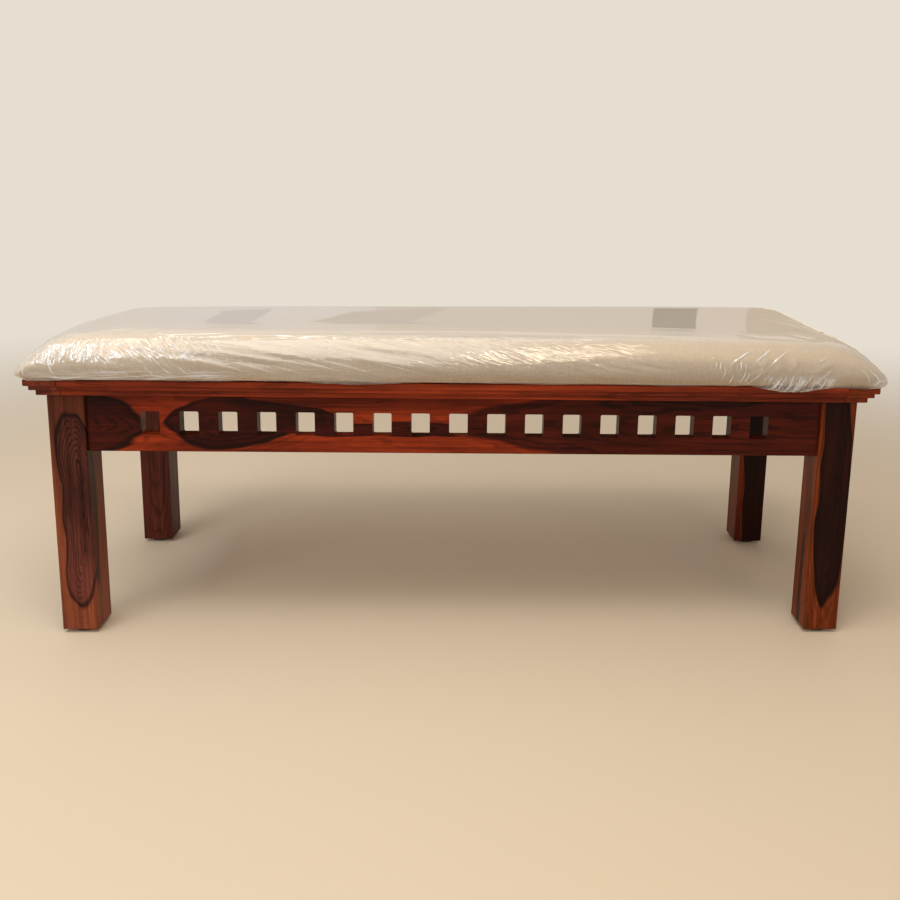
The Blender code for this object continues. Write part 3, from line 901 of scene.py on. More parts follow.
CREASE_LAYERS = (
    CreaseLayer(
        "facets",
        CreaseKind.LINES,
        (
            # The front's left end
            CreaseField((-0.09, 0.08), (0.014, 0.100), -54.0, (16.0, 150.0), 2.0, 0.80, 0.02),
            CreaseField((0.08, 0.22), (0.018, 0.100), -34.0, (14.0, 140.0), 2.0, 0.75, 0.02),
            # Right of the middle
            CreaseField((0.54, 0.86), (0.020, 0.092), -23.0, (24.0, 140.0), 2.0, 1.20, 0.02),
            # The gathered hem
            CreaseField((1.00, 1.10), (-0.030, 0.024), 58.0, (22.0, 110.0), 9.0, 1.00, 0.45, (0.02, 0.006)),
            # The front's right corner
            CreaseField((1.15, 1.23), (-0.030, 0.022), 35.0, (30.0, 130.0), 8.0, 1.00, 0.45, (0.015, 0.006)),
        ),
    ),
    CreaseLayer(
        "pulls",
        CreaseKind.LINES,
        (
            # Long pulls across the front
            CreaseField((0.08, 0.74), (0.026, 0.082), -12.0, (3.0, 50.0), 10.0, 0.45, 0.12),
            # Gathers along the lower edge
            CreaseField((0.02, 0.27), (-0.030, 0.022), 3.0, (7.0, 140.0), 14.0, 1.00, 0.50, (0.03, 0.005)),
            CreaseField((0.30, 0.52), (-0.030, 0.018), -2.0, (7.0, 140.0), 14.0, 0.80, 0.24, (0.03, 0.005)),
            CreaseField((0.55, 3.00), (-0.030, 0.010), 1.0, (5.0, 300.0), 8.0, 0.80, 0.22, (0.03, 0.004)),
            CreaseField((-3.00, -0.01), (-0.030, 0.020), 1.0, (6.0, 260.0), 8.0, 0.80, 0.30, (0.02, 0.006)),
            # Straight pulls along the top
            CreaseField((-3.00, 3.00), (0.092, 0.170), 0.0, (1.0, 60.0), 8.0, 0.22, 0.10),
        ),
    ),
    CreaseLayer(
        "strokes",
        CreaseKind.DASHES,
        (
            # Hatching at the front's left end
            CreaseField((-0.09, 0.08), (0.008, 0.076), -57.0, (30.0, 150.0), 0.14, 0.95, 0.42),
            # Long pulls across the front
            CreaseField((0.14, 0.60), (0.010, 0.090), -15.0, (7.0, 120.0), 0.12, 0.70, 0.14),
            # Short strokes right of the middle
            CreaseField((0.64, 0.88), (0.020, 0.080), -24.0, (36.0, 220.0), 0.15, 0.80, 0.18),
            # Strokes that rise from the loose hem
            CreaseField((0.97, 1.11), (0.008, 0.078), 33.0, (9.0, 80.0), 0.09, 1.00, 0.50),
            # Round the front's right corner
            CreaseField((1.13, 1.26), (0.000, 0.070), 80.0, (24.0, 60.0), 0.06, 1.00, 0.50, (0.02, 0.008)),
            # Right end and back, then the left end
            CreaseField((1.32, 3.00), (0.010, 0.110), -24.0, (10.0, 90.0), 0.09, 0.80, 0.22),
            CreaseField((-3.00, -0.15), (0.010, 0.110), 24.0, (10.0, 90.0), 0.09, 0.80, 0.22),
        ),
    ),
    CreaseLayer(
        "cross_strokes",
        CreaseKind.DASHES,
        (
            # Over the left end's glare
            CreaseField((0.05, 0.24), (0.012, 0.088), -34.0, (22.0, 150.0), 0.12, 0.90, 0.36),
            # Long pulls over the middle
            CreaseField((0.34, 0.74), (0.010, 0.090), -17.0, (8.0, 110.0), 0.10, 0.60, 0.14),
            # Beside the loose hem
            CreaseField((0.93, 1.01), (0.008, 0.048), 57.0, (36.0, 170.0), 0.12, 0.85, 0.42),
        ),
    ),
)


@dataclass(frozen=True)
class ClearFilmFinish:
    """Thin clear film: it mirrors what its surface turns away and lets the rest through.

    layers is how many films' mirroring shows, fold_haze how milky slack film is, and scatter how quickly a
    crease's haze turns from mirror to white.
    """

    tint: Colour = srgb(250, 250, 252)
    ior: float = 1.5
    roughness: float = 0.05
    layers: float = 1.5
    fold_haze: float = 0.14
    scatter: float = 2.5
    relief: Pair = (0.60, 0.0011)
    slack_attribute: str = "slack"

    def material(self, name: str) -> bpy.types.Material:
        """Build the finish: a white mirror whose opacity is the two faces' Fresnel share, plus crease haze.

        Args:
            name: The material's name.

        Returns:
            The material.
        """
        material, graph, shader = new_material(name)
        height: Any = 0.0
        haze = graph.times(graph.attribute(self.slack_attribute, "Fac"), self.fold_haze)
        for layer in CREASE_LAYERS:
            raised, veiled = layer.look(graph)
            height = graph.math("MAXIMUM", height, raised)
            haze = graph.math("MAXIMUM", haze, veiled)
        normal = graph.bump(height, *self.relief)
        one_face = graph.node("Fresnel", {"IOR": self.ior, "Normal": normal}).outputs[0]
        both_faces = graph.math("DIVIDE", graph.times(one_face, 2.0), graph.plus(one_face, 1.0))
        surface = {
            "Base Color": self.tint,
            "Metallic": graph.math("MULTIPLY_ADD", haze, -self.scatter, 1.0, clamp=True),
            "Roughness": self.roughness,
            "Normal": normal,
            "Alpha": graph.math("MULTIPLY_ADD", both_faces, self.layers, haze, clamp=True),
        }
        graph.feed_all(shader, surface)
        return material


@dataclass(frozen=True)
class Walk:
    """A walk once round a rounded rectangle, as arrays along it.

    A ring of half sizes (a, b) and corner radius r is x = along * (a - r) + r * cos(angle) and
    y = across * (b - r) + r * sin(angle): the shares move on the straights, and the angle in the corners.
    """

    along: np.ndarray
    across: np.ndarray
    angle: np.ndarray
    travelled: np.ndarray

    @classmethod
    def round(cls, half: Pair, corner: float, count: int) -> Walk:
        """Space points evenly, from the front's left end along the front and on round the right end.

        Args:
            half: Half length and half depth.
            corner: Corner radius.
            count: Points in the walk.

        Returns:
            The walk.
        """
        long, deep, arc = 2 * (half[0] - corner), 2 * (half[1] - corner), corner * math.pi / 2
        knots = np.cumsum([0.0, long, arc, deep, arc, long, arc, deep, arc])
        travelled = np.arange(count) / count * knots[-1]
        along = np.interp(travelled, knots, [-1, 1, 1, 1, 1, -1, -1, -1, -1])
        across = np.interp(travelled, knots, [-1, -1, -1, 1, 1, 1, 1, -1, -1])
        angle = np.interp(travelled, knots, np.radians([-90, -90, 0, 0, 90, 90, 180, 180, 270]))
        return cls(along, across, angle, travelled)

    def rings(self, end: np.ndarray, front: np.ndarray, rear: np.ndarray, corner: np.ndarray) -> np.ndarray:
        """One ring for each row.

        Args:
            end: How far the ends lie from the middle.
            front: The same for the front.
            rear: The same for the rear.
            corner: Corner radius.

        Returns:
            Rows by columns by XY.
        """
        end, front, rear, corner = (v[:, None] for v in (end, front, rear, corner))
        x = self.along * (end - corner) + corner * np.cos(self.angle)
        y = (rear - front) / 2 + self.across * ((rear + front) / 2 - corner) + corner * np.sin(self.angle)
        return np.stack([x, y], axis=-1)


def grid_mesh(name: str, points: np.ndarray, merge: float = 0.0) -> bpy.types.Mesh:
    """A mesh of quads over a grid of points that closes on itself along its second axis.

    Args:
        name: The mesh's name.
        points: Rows by columns by XYZ, each row anticlockwise from above, rows running up and then inwards.
        merge: Distance within which points become one.

    Returns:
        The mesh, smooth shaded, with its faces outwards.
    """
    rows, columns = points.shape[:2]
    row, column = np.meshgrid(np.arange(rows - 1), np.arange(columns), indexing="ij")
    beside = (column + 1) % columns
    here, above = row * columns, (row + 1) * columns
    quads = np.stack([here + column, here + beside, above + beside, above + column], axis=-1)
    mesh = bpy.data.meshes.new(name)
    mesh.from_pydata(points.reshape(-1, 3), [], quads.reshape(-1, 4))
    if merge:
        shape = bmesh.new()
        shape.from_mesh(mesh)
        bmesh.ops.remove_doubles(shape, verts=shape.verts, dist=merge)
        bmesh.ops.recalc_face_normals(shape, faces=shape.faces)
        shape.to_mesh(mesh)
        shape.free()
    mesh.shade_smooth()
    return mesh


def add_object(name: str, mesh: bpy.types.Mesh) -> bpy.types.Object:
    """An object at the origin, linked to the scene.

    Args:
        name: The object's name.
        mesh: Its mesh.

    Returns:
        The object.
    """
    made = bpy.data.objects.new(name, mesh)
    bpy.context.scene.collection.objects.link(made)
    return made


def vectors_of(items: bpy.types.bpy_prop_collection, field: str) -> np.ndarray:
    """One vector from each of a mesh's items.

    Args:
        items: The mesh's points or their normals.
        field: The vector's name there.

    Returns:
        Items by XYZ.
    """
    flat = np.empty(len(items) * 3, np.float32)
    items.foreach_get(field, flat)
    return flat.reshape(-1, 3).astype(np.float64)


def points_of(mesh: bpy.types.Mesh) -> np.ndarray:
    """A mesh's points as an array."""
    return vectors_of(mesh.vertices, "co")


def normals_of(mesh: bpy.types.Mesh) -> np.ndarray:
    """The normals at a mesh's points as an array."""
    return vectors_of(mesh.vertex_normals, "vector")


def set_points(mesh: bpy.types.Mesh, points: np.ndarray) -> None:
    """Move a mesh's points."""
    mesh.vertices.foreach_set("co", points.astype(np.float32).ravel())
    mesh.update()


def evaluated_points(piece: bpy.types.Object) -> np.ndarray:
    """A piece's points with its modifiers.

    Args:
        piece: The piece.

    Returns:
        Points by XYZ.
    """
    evaluated = piece.evaluated_get(bpy.context.evaluated_depsgraph_get())
    points = points_of(evaluated.to_mesh())
    evaluated.to_mesh_clear()
    return points


def bake_modifiers(piece: bpy.types.Object) -> None:
    """Put the evaluated mesh in place of the piece's own, and drop the modifiers.

    Args:
        piece: The piece.
    """
    graph = bpy.context.evaluated_depsgraph_get()
    mesh = bpy.data.meshes.new_from_object(piece.evaluated_get(graph))
    piece.modifiers.clear()
    piece.data = mesh


def write_attribute(mesh: bpy.types.Mesh, name: str, values: np.ndarray) -> None:
    """Store one number, or one vector, per point.

    Args:
        mesh: The mesh.
        name: The attribute's name.
        values: Points, or points by XYZ.
    """
    kind, field = ("FLOAT_VECTOR", "vector") if values.ndim == 2 else ("FLOAT", "value")
    attribute = mesh.attributes.new(name, kind, "POINT")
    attribute.data.foreach_set(field, values.astype(np.float32).ravel())


def paint(mesh: bpy.types.Mesh, material: bpy.types.Material) -> None:
    """Give a mesh one material."""
    mesh.materials.clear()
    mesh.materials.append(material)


@dataclass(frozen=True)
class SeatForm:
    """The pad's shape: rings of a rounded rectangle carried round its base, over its shoulders and inwards.

    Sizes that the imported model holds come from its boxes. The rest say how the soft form departs from them.
    A pair named fade is where an effect starts and ends, as a share of the pad's height or half depth, and
    lip_start is the same in metres past the wood.
    """

    half: Pair
    base: float
    top: float
    board_half: Pair
    board_top: float
    wood_half: Pair
    low_corner: float = 0.0165
    high_corner: float = 0.0410
    board_corner: float = 0.034
    base_round: float = 0.010
    end_shoulder: float = 0.0555
    end_bulge: float = 1.52
    front_shoulder: float = 0.046
    front_bulge: float = 1.8
    rear_shoulder: float = 0.130
    rear_bulge: float = 1.87
    crown: float = 0.0020
    crown_fade: Pair = (0.55, 0.95)
    ridge: float = 0.50
    ridge_power: float = 1.5
    lip_sag: float = 0.0045
    lip_start: Pair = (0.0005, 0.008)
    lip_fade: Pair = (0.30, 0.0)
    corner_drop: float = 0.0155
    corner_power: float = 8.2
    corner_spread: float = 2.5
    corner_fade: Pair = (0.05, 0.7)
    rear_twist: float = 0.0100
    twist_fade: Pair = (0.1, 0.8)
    twist_depth_fade: Pair = (-0.4, 1.0)
    gap: float = 0.0004
    under_steps: int = 12
    edge_steps: int = 4
    outward_shares: Pair = (0.33, 0.67)

    @classmethod
    def from_frame(cls) -> SeatForm:
        """Read the pad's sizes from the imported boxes.

        Returns:
            The form.
        """
        _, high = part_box("seat_cover")
        _, board_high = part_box("seat_board")
        _, wood_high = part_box("end_rail_right")
        foam_low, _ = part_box("foam_pad")
        return cls(
            half=(high.x, high.y),
            base=foam_low.z,
            top=high.z,
            board_half=(board_high.x, board_high.y),
            board_top=board_high.z,
            wood_half=(wood_high.x, wood_high.y),
        )

    def under_rows(self) -> np.ndarray:
        """Rows from the underside's ridge line over the board, down its edge and out along the base.

        Returns:
            Rows of end, front and rear inset, height and corner radius.
        """
        seat = self.board_top + self.gap
        end, side = (half - board - self.gap for half, board in zip(self.half, self.board_half))
        out = self.base_round
        # Share from the ridge line to the board's edge, drop beside it, and share on to the base's round
        steps = [(share, 0.0, 0.0) for share in np.linspace(0.0, 1.0, self.under_steps)]
        steps += [(1.0, drop, 0.0) for drop in np.linspace(0.0, 1.0, self.edge_steps)[1:]]
        steps += [(1.0, 1.0, share) for share in self.outward_shares]
        share, drop, onward = np.array(steps).T
        ends = ((self.half[0] - self.ridge) * (1 - share) + end * share) * (1 - onward) + out * onward
        sides = (self.half[1] * (1 - share) + side * share) * (1 - onward) + out * onward
        height = seat + (self.base - seat) * drop
        return np.stack([ends, sides, sides, height, self.board_corner * share], axis=1)

    def upper_rows(self, base_rows: int, shoulder_rows: int, top_rows: int) -> np.ndarray:
        """Rows round the base, over the shoulder and in to the ridge line on top.

        The base is a quarter circle. The shoulder is a quarter of the super-ellipse |u|^b + |w|^b = 1, with
        a power b of its own for the ends, the front and the rear. On top the rings shrink to a line along X.

        Args:
            base_rows: Rows round the base.
            shoulder_rows: Rows over the shoulder.
            top_rows: Rows on top.

        Returns:
            Rows of end, front and rear inset, height and corner radius.
        """
        high = self.top - self.crown
        start = self.base + self.base_round
        turn = np.linspace(0.0, math.pi / 2, base_rows)
        inset = self.base_round * (1 - np.sin(turn))
        low = [inset] * 3 + [start - self.base_round * np.cos(turn), np.full_like(turn, self.low_corner)]
        upward = np.sin(np.linspace(0.0, math.pi / 2, shoulder_rows + 1)[1:])
        widths = (self.end_shoulder, self.front_shoulder, self.rear_shoulder)
        bulges = (self.end_bulge, self.front_bulge, self.rear_bulge)
        shoulder = [width * (1 - (1 - upward**b) ** (1 / b)) for width, b in zip(widths, bulges)]
        shoulder += [start + (high - start) * upward]
        shoulder += [self.low_corner + (self.high_corner - self.low_corner) * upward**2]
        share = np.linspace(0.0, 1.0, top_rows + 1)[1:] ** self.ridge_power
        ridge = (self.half[0] - self.ridge, self.half[1], self.half[1])
        top = [width * (1 - share) + line * share for width, line in zip(widths, ridge)]
        top += [np.full_like(share, high), self.high_corner * (1 - share)]
        return np.hstack([low, shoulder, top]).T

    def points(self, rows: np.ndarray, walk: Walk) -> np.ndarray:
        """Carry the rows round the walk, then crown, sag, twist and pinch the form.

        The crown is (1 - u^2)(1 - v^2) on top, and the pinch |u|^p |v|^(p / spread) at the corners, where u
        and v are the shares of half the length and half the depth.

        Args:
            rows: Rows of end, front and rear inset, height and corner radius.
            walk: The way round.

        Returns:
            Rows by columns by XYZ.
        """
        reach = np.array([self.half[0], self.half[1], self.half[1]]) - rows[:, :3]
        flat = walk.rings(*reach.T, rows[:, 4])
        x, y = flat[..., 0], flat[..., 1]
        z = np.repeat(rows[:, 3:4], x.shape[1], axis=1)
        u, v = x / self.half[0], y / self.half[1]
        lift = np.clip((z - self.base) / (self.top - self.base), 0.0, 1.0)
        plateau = smoothstep(*self.crown_fade, lift)
        z = z + self.crown * plateau * np.clip(1 - u**2, 0, 1) * np.clip(1 - v**2, 0, 1)
        outside = np.maximum(np.abs(x) - self.wood_half[0], np.abs(y) - self.wood_half[1])
        z = z - self.lip_sag * smoothstep(*self.lip_start, outside) * smoothstep(*self.lip_fade, lift)
        twist = self.rear_twist * u * smoothstep(*self.twist_depth_fade, v)
        z = z + twist * smoothstep(*self.twist_fade, lift)
        pinch = np.abs(u) ** self.corner_power * np.abs(v) ** (self.corner_power / self.corner_spread)
        z = z - self.corner_drop * pinch * smoothstep(*self.corner_fade, lift)
        return np.stack([x, y, z], axis=-1)


@dataclass(frozen=True)
class FoldFamily:
    """Folds of one kind: seeded segments, in metres round the pad from the front's left end and up it.

    Slopes are in degrees, lengths are half lengths in metres, and widths and heights are in millimetres.
    """

    count: int
    around: Pair
    up: Pair
    slope: Pair
    length: Pair
    width: Pair
    height: Pair
    seed: int

    def segments(self) -> np.ndarray:
        """Draw the folds.

        Returns:
            Folds by centre round and up, slope in radians, half length, width and height in metres.
        """
        draw = np.random.default_rng(self.seed)
        width, height = (np.multiply(span, MILLIMETRE) for span in (self.width, self.height))
        spans = (self.around, self.up, np.radians(self.slope), self.length, width, height)
        return np.stack([draw.uniform(*span, self.count) for span in spans], axis=1)


FOLDS = (
    # Hatching at the front's left end
    FoldFamily(70, (-0.05, 0.24), (0.012, 0.080), (-52, -22), (0.008, 0.024), (2.4, 3.4), (0.4, 0.9), 3),
    # Gathers along the lower edge on the left
    FoldFamily(60, (-0.02, 0.50), (0.002, 0.020), (-3, 7), (0.025, 0.070), (2.2, 3.4), (0.6, 1.3), 5),
    # Long pulls across the front
    FoldFamily(30, (0.12, 0.66), (0.010, 0.085), (-20, -9), (0.060, 0.130), (3.5, 6.0), (0.4, 0.9), 8),
    # Short creases right of the middle
    FoldFamily(70, (0.50, 0.80), (0.018, 0.085), (-24, -8), (0.010, 0.032), (2.4, 3.4), (0.4, 0.9), 13),
    # Pulls that rise from the loose hem
    FoldFamily(26, (0.94, 1.09), (0.004, 0.062), (26, 52), (0.020, 0.055), (2.4, 3.6), (0.5, 1.2), 21),
    # Straight creases along the front of the top
    FoldFamily(16, (0.10, 1.00), (0.098, 0.135), (-1.2, 1.2), (0.090, 0.260), (3.5, 6.0), (0.3, 0.6), 34),
    # Both ends and the back
    FoldFamily(150, (1.16, 3.20), (0.004, 0.095), (-40, 40), (0.012, 0.050), (2.4, 4.0), (0.4, 0.9), 55),
    FoldFamily(50, (1.16, 3.20), (0.002, 0.020), (-6, 6), (0.025, 0.070), (2.2, 3.4), (0.5, 1.1), 89),
)

PULLS = (
    # Long pulls across the pad's front, raised and sunk
    FoldFamily(16, (0.20, 0.54), (0.020, 0.078), (-18, -12), (0.060, 0.130), (4.0, 6.0), (0.6, 1.5), 144),
    FoldFamily(14, (0.18, 0.56), (0.020, 0.072), (-18, -12), (0.060, 0.130), (4.0, 6.0), (-1.5, -0.6), 233),
    # Shorter ones low down, right of the middle
    FoldFamily(12, (0.74, 0.90), (0.012, 0.036), (-17, -11), (0.030, 0.070), (3.5, 4.5), (-1.2, 1.0), 377),
)


def raise_folds(
    families: tuple[FoldFamily, ...], around: np.ndarray, up: np.ndarray, loop: float
) -> np.ndarray:
    """The height that folds raise: at each place the strongest ridge exp(-(d / width)^2) * (1 - t^2)^2.

    d is how far a place lies off a fold's line, and t how far along it, as a share of its half length.

    Args:
        families: The folds.
        around: Metres round the pad.
        up: Metres up it.
        loop: Metres once round.

    Returns:
        Heights, of the places' shape.
    """
    relief = np.zeros_like(up)
    for family in families:
        for centre, rise, slope, reach, width, height in family.segments():
            beside = (around - centre + loop / 2) % loop - loop / 2
            near = np.abs(beside) < reach + 3 * width
            beside, level = beside[near], up[near] - rise
            run = (beside * math.cos(slope) + level * math.sin(slope)) / reach
            off = (level * math.cos(slope) - beside * math.sin(slope)) / width
            ridge = height * np.exp(-(off**2)) * np.clip(1 - run**2, 0, None) ** 2
            relief[near] = np.where(np.abs(ridge) > np.abs(relief[near]), ridge, relief[near])
    return relief


@dataclass(frozen=True)
class SeatCushion:
    """The stuffed pad in its woven cover, swollen by cloth pressure.

    rows are those round the base, over the shoulder and on top. held_share of the base's round is pinned as
    the pad swells, and so is the recess over the board, within board_margin of its edge and recess_margin
    of its top.
    """

    form: SeatForm
    columns: int = 420
    rows: tuple[int, int, int] = (8, 22, 16)
    weld: float = 1e-5
    voxel: float = 0.006
    relax_share: float = 0.5
    relax_steps: int = 2
    held_share: float = 0.4
    board_margin: float = 0.004
    recess_margin: float = 0.003
    quality: int = 4
    pressure: float = 4.0
    frames: int = 20
    most_swell: float = 0.003
    inward_share: float = 0.2
    pull_fade: Pair = (0.002, 0.012)
    fill: float = 0.85

    def build(self) -> bpy.types.Object:
        """Loft the pad, remesh it evenly, swell it and record its cloth coordinates.

        Returns:
            The pad.
        """
        walk = Walk.round(self.form.half, self.form.high_corner, self.columns)
        rows = np.vstack([self.form.under_rows(), self.form.upper_rows(*self.rows)])
        mesh = grid_mesh("seat_cushion", self.form.points(rows, walk), merge=self.weld)
        cushion = add_object("seat_cushion", mesh)
        even = cushion.modifiers.new("even", "REMESH")
        even.mode = "VOXEL"
        even.voxel_size = self.voxel
        even.use_smooth_shade = True
        relax = cushion.modifiers.new("relax", "SMOOTH")
        relax.factor = self.relax_share
        relax.iterations = self.relax_steps
        bake_modifiers(cushion)
        self.swell(cushion)
        finer = cushion.modifiers.new("finer", "SUBSURF")
        finer.levels = 1
        finer.render_levels = 1
        bake_modifiers(cushion)
        self.lay_cloth(cushion.data)
        return cushion

    def swell(self, cushion: bpy.types.Object) -> None:
        """Inflate the pad as cloth with its underside pinned, and cap how far each point moves.

        Args:
            cushion: The pad.
        """
        rest = points_of(cushion.data)
        low = rest[:, 2] < self.form.base + self.held_share * self.form.base_round
        over_board = (np.abs(rest[:, :2]) < np.add(self.form.board_half, self.board_margin)).all(axis=1)
        recess = over_board & (rest[:, 2] < self.form.board_top + self.recess_margin)
        held = cushion.vertex_groups.new(name="held")
        held.add(np.flatnonzero(low | recess).tolist(), 1.0, "REPLACE")
        cloth = cushion.modifiers.new("swell", "CLOTH")
        settings = cloth.settings
        settings.quality = self.quality
        settings.use_pressure = True
        settings.uniform_pressure_force = self.pressure
        settings.effector_weights.gravity = 0.0
        settings.vertex_group_mass = held.name
        cloth.point_cache.frame_end = self.frames
        scene = bpy.context.scene
        for frame in range(1, self.frames + 1):
            scene.frame_set(frame)
        swollen = evaluated_points(cushion)
        cushion.modifiers.clear()
        scene.frame_set(1)
        moved = swollen - rest
        length = np.linalg.norm(moved, axis=1, keepdims=True)
        moved *= np.minimum(1.0, self.most_swell / np.maximum(length, TINY))
        drawn_in = (moved * normals_of(cushion.data)).sum(axis=1) < 0
        moved[drawn_in] *= self.inward_share
        set_points(cushion.data, rest + moved)
        LOG.info("seat_cushion: swelled %.1f mm at most before its cap", float(length.max()) / MILLIMETRE)

    def lay_cloth(self, mesh: bpy.types.Mesh) -> None:
        """Thread coordinates: X and Y, run on down the ends and sides by the drop from the top.

        Long pulls then rise and sink along the normals, faded out towards the base.

        Args:
            mesh: The pad's mesh.
        """
        form = self.form
        points = points_of(mesh)
        drop = form.top - points[:, 2]
        ends = smoothstep(form.half[0] - form.end_shoulder, form.half[0], np.abs(points[:, 0]))
        sides = smoothstep(form.half[1] - form.front_shoulder, form.half[1], np.abs(points[:, 1]))
        warp = points[:, 0] + np.sign(points[:, 0]) * drop * ends
        weft = points[:, 1] + np.sign(points[:, 1]) * drop * sides
        write_attribute(mesh, "cloth", np.stack([warp, weft, np.zeros_like(warp)], axis=1))
        around = warp + form.half[0] - form.high_corner
        up = weft + form.half[1] + form.top - form.base
        relief = raise_folds(PULLS, around, up, 4 * sum(form.half))
        relief *= smoothstep(*np.add(form.board_top, self.pull_fade), points[:, 2])
        set_points(mesh, points + normals_of(mesh) * relief[:, None])

    def dress(self, cushion: bpy.types.Object) -> None:
        """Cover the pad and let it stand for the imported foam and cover.

        Args:
            cushion: The finished pad.
        """
        paint(cushion.data, WovenLinen().material("woven_linen"))
        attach(cushion, BODY)
        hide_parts("seat_cover", "foam_pad")


@dataclass(frozen=True)
class Pull:
    """A straight pull along the front of the wrap: a ridge at a height up it."""

    up: float
    height: float
    width: float


@dataclass(frozen=True)
class ClearWrap:
    """The clear film over the pad: stretched on top, creased at the corners, gathered and turned under.

    The loose hem hangs over the wood round hem_place, in metres round the wrap. A ripple is a wave's length
    round the wrap and its phase.
    """

    form: SeatForm
    columns: int = 1320
    rows: tuple[int, int, int] = (8, 26, 30)
    lift: float = 0.0007
    turned_under: float = 0.018
    under_rows: int = 3
    under_height: float = 0.0012
    hem_place: float = 1.045
    hem_half: float = 0.062
    hem_power: float = 1.5
    hem_drop: float = 0.0085
    hem_out: float = 0.0022
    hem_level: float = 0.002
    hem_fade: float = 0.016
    hem_slack: float = 0.004
    gather: float = 0.0016
    gather_ripples: tuple[Pair, Pair] = ((0.0075, 0.0), (0.031, 0.0))
    lip_wave: float = 0.0016
    lip_ripples: tuple[Pair, Pair] = ((0.37, 0.6), (0.23, 2.0))
    seam_share: float = 0.69
    slack_relief: Pair = (0.0004, 0.0022)
    least_normal: float = 1e-12
    pulls: tuple[Pull, ...] = (
        Pull(0.081, 0.0007, 0.0035),
        Pull(0.121, 0.0005, 0.006),
        Pull(0.174, 0.0004, 0.008),
    )

    def build(self, cushion: bpy.types.Object) -> bpy.types.Object:
        """Loft the wrap over the pad's rings, settle it on the pad and raise its folds.

        Args:
            cushion: The finished pad.

        Returns:
            The wrap.
        """
        walk = Walk.round(self.form.half, self.form.high_corner, self.columns)
        rows = self.form.upper_rows(*self.rows)
        under = np.linspace(1.0, 0.0, self.under_rows + 1)[:-1]
        tucked = np.repeat(rows[:1], self.under_rows, axis=0)
        tucked[:, :3] += self.turned_under * under[:, None]
        shape = self.form.points(np.vstack([tucked, rows]), walk)
        wrap = add_object("clear_wrap", grid_mesh("clear_wrap", shape))
        settle = wrap.modifiers.new("settle", "SHRINKWRAP")
        settle.target = cushion
        settle.wrap_method = "NEAREST_SURFACEPOINT"
        settle.wrap_mode = "OUTSIDE_SURFACE"
        settle.offset = self.lift
        settled = evaluated_points(wrap).reshape(shape.shape)
        wrap.modifiers.clear()
        around = np.broadcast_to(walk.travelled, shape.shape[:2])
        up = np.cumsum(np.linalg.norm(np.diff(settled, axis=0, prepend=settled[:1]), axis=2), axis=0)
        up = up - up[self.under_rows]
        folded, relief = self.fold(settled, around, up)
        folded[: self.under_rows, :, 2] = self.form.base - self.under_height
        set_points(wrap.data, folded)
        self.record(wrap.data, around, up, relief)
        return wrap

    def fold(self, shape: np.ndarray, around: np.ndarray, up: np.ndarray) -> tuple[np.ndarray, np.ndarray]:
        """Raise folds along the normals, and drop the loose hem over the wood.

        Args:
            shape: Rows by columns by XYZ.
            around: Metres round the wrap at each point.
            up: Metres up it.

        Returns:
            The folded points and the height raised at each.
        """
        ahead = np.roll(shape, -1, axis=1) - np.roll(shape, 1, axis=1)
        normal = np.cross(ahead, np.gradient(shape, axis=0))
        normal /= np.maximum(np.linalg.norm(normal, axis=2, keepdims=True), self.least_normal)
        relief = raise_folds(FOLDS, around, up, self.once_round(around))
        for pull in self.pulls:
            ridge = pull.height * np.exp(-(((up - pull.up) / pull.width) ** 2))
            relief = relief + ridge * (shape[..., 1] < 0)
        points = shape + normal * relief[..., None]
        hem = np.clip(1 - ((around - self.hem_place) / self.hem_half) ** 2, 0, None) ** self.hem_power
        low = smoothstep(self.hem_fade, 0.0, np.abs(up - self.hem_level))
        first, second = (self.ripple(around, *ripple) for ripple in self.gather_ripples)
        wave = sum(self.ripple(around, *ripple) for ripple in self.lip_ripples)
        points[..., 2] -= (self.hem_drop * hem + self.lip_wave * np.clip(wave, 0, None)) * low
        points[..., 1] -= (self.hem_out + self.gather * first * second) * hem * low
        return points, relief + self.hem_slack * hem * low

    @staticmethod
    def once_round(around: np.ndarray) -> float:
        """The whole way round the wrap: its last column's way plus one step."""
        return float(around[0, -1] + around[0, 1])

    @staticmethod
    def ripple(around: np.ndarray, length: float, phase: float) -> np.ndarray:
        """A sine wave of a length round the wrap."""
        return np.sin(2 * math.pi * around / length + phase)

    def record(self, mesh: bpy.types.Mesh, around: np.ndarray, up: np.ndarray, relief: np.ndarray) -> None:
        """Store where the wrap's creases lie, seamed at the back, and how slack it is: most on its folds.

        Args:
            mesh: The wrap's mesh.
            around: Metres round the wrap at each point.
            up: Metres up it.
            relief: Height raised at each point.
        """
        loop = self.once_round(around)
        signed = np.where(around > self.seam_share * loop, around - loop, around)
        for layer in CREASE_LAYERS:
            layer.record(mesh, signed.ravel(), up.ravel())
        write_attribute(mesh, "slack", smoothstep(*self.slack_relief, relief.ravel()))

    def dress(self, wrap: bpy.types.Object) -> None:
        """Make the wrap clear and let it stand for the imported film.

        Args:
            wrap: The finished wrap.
        """
        paint(wrap.data, ClearFilmFinish().material("clear_film"))
        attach(wrap, BODY)
        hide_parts("protective_film")


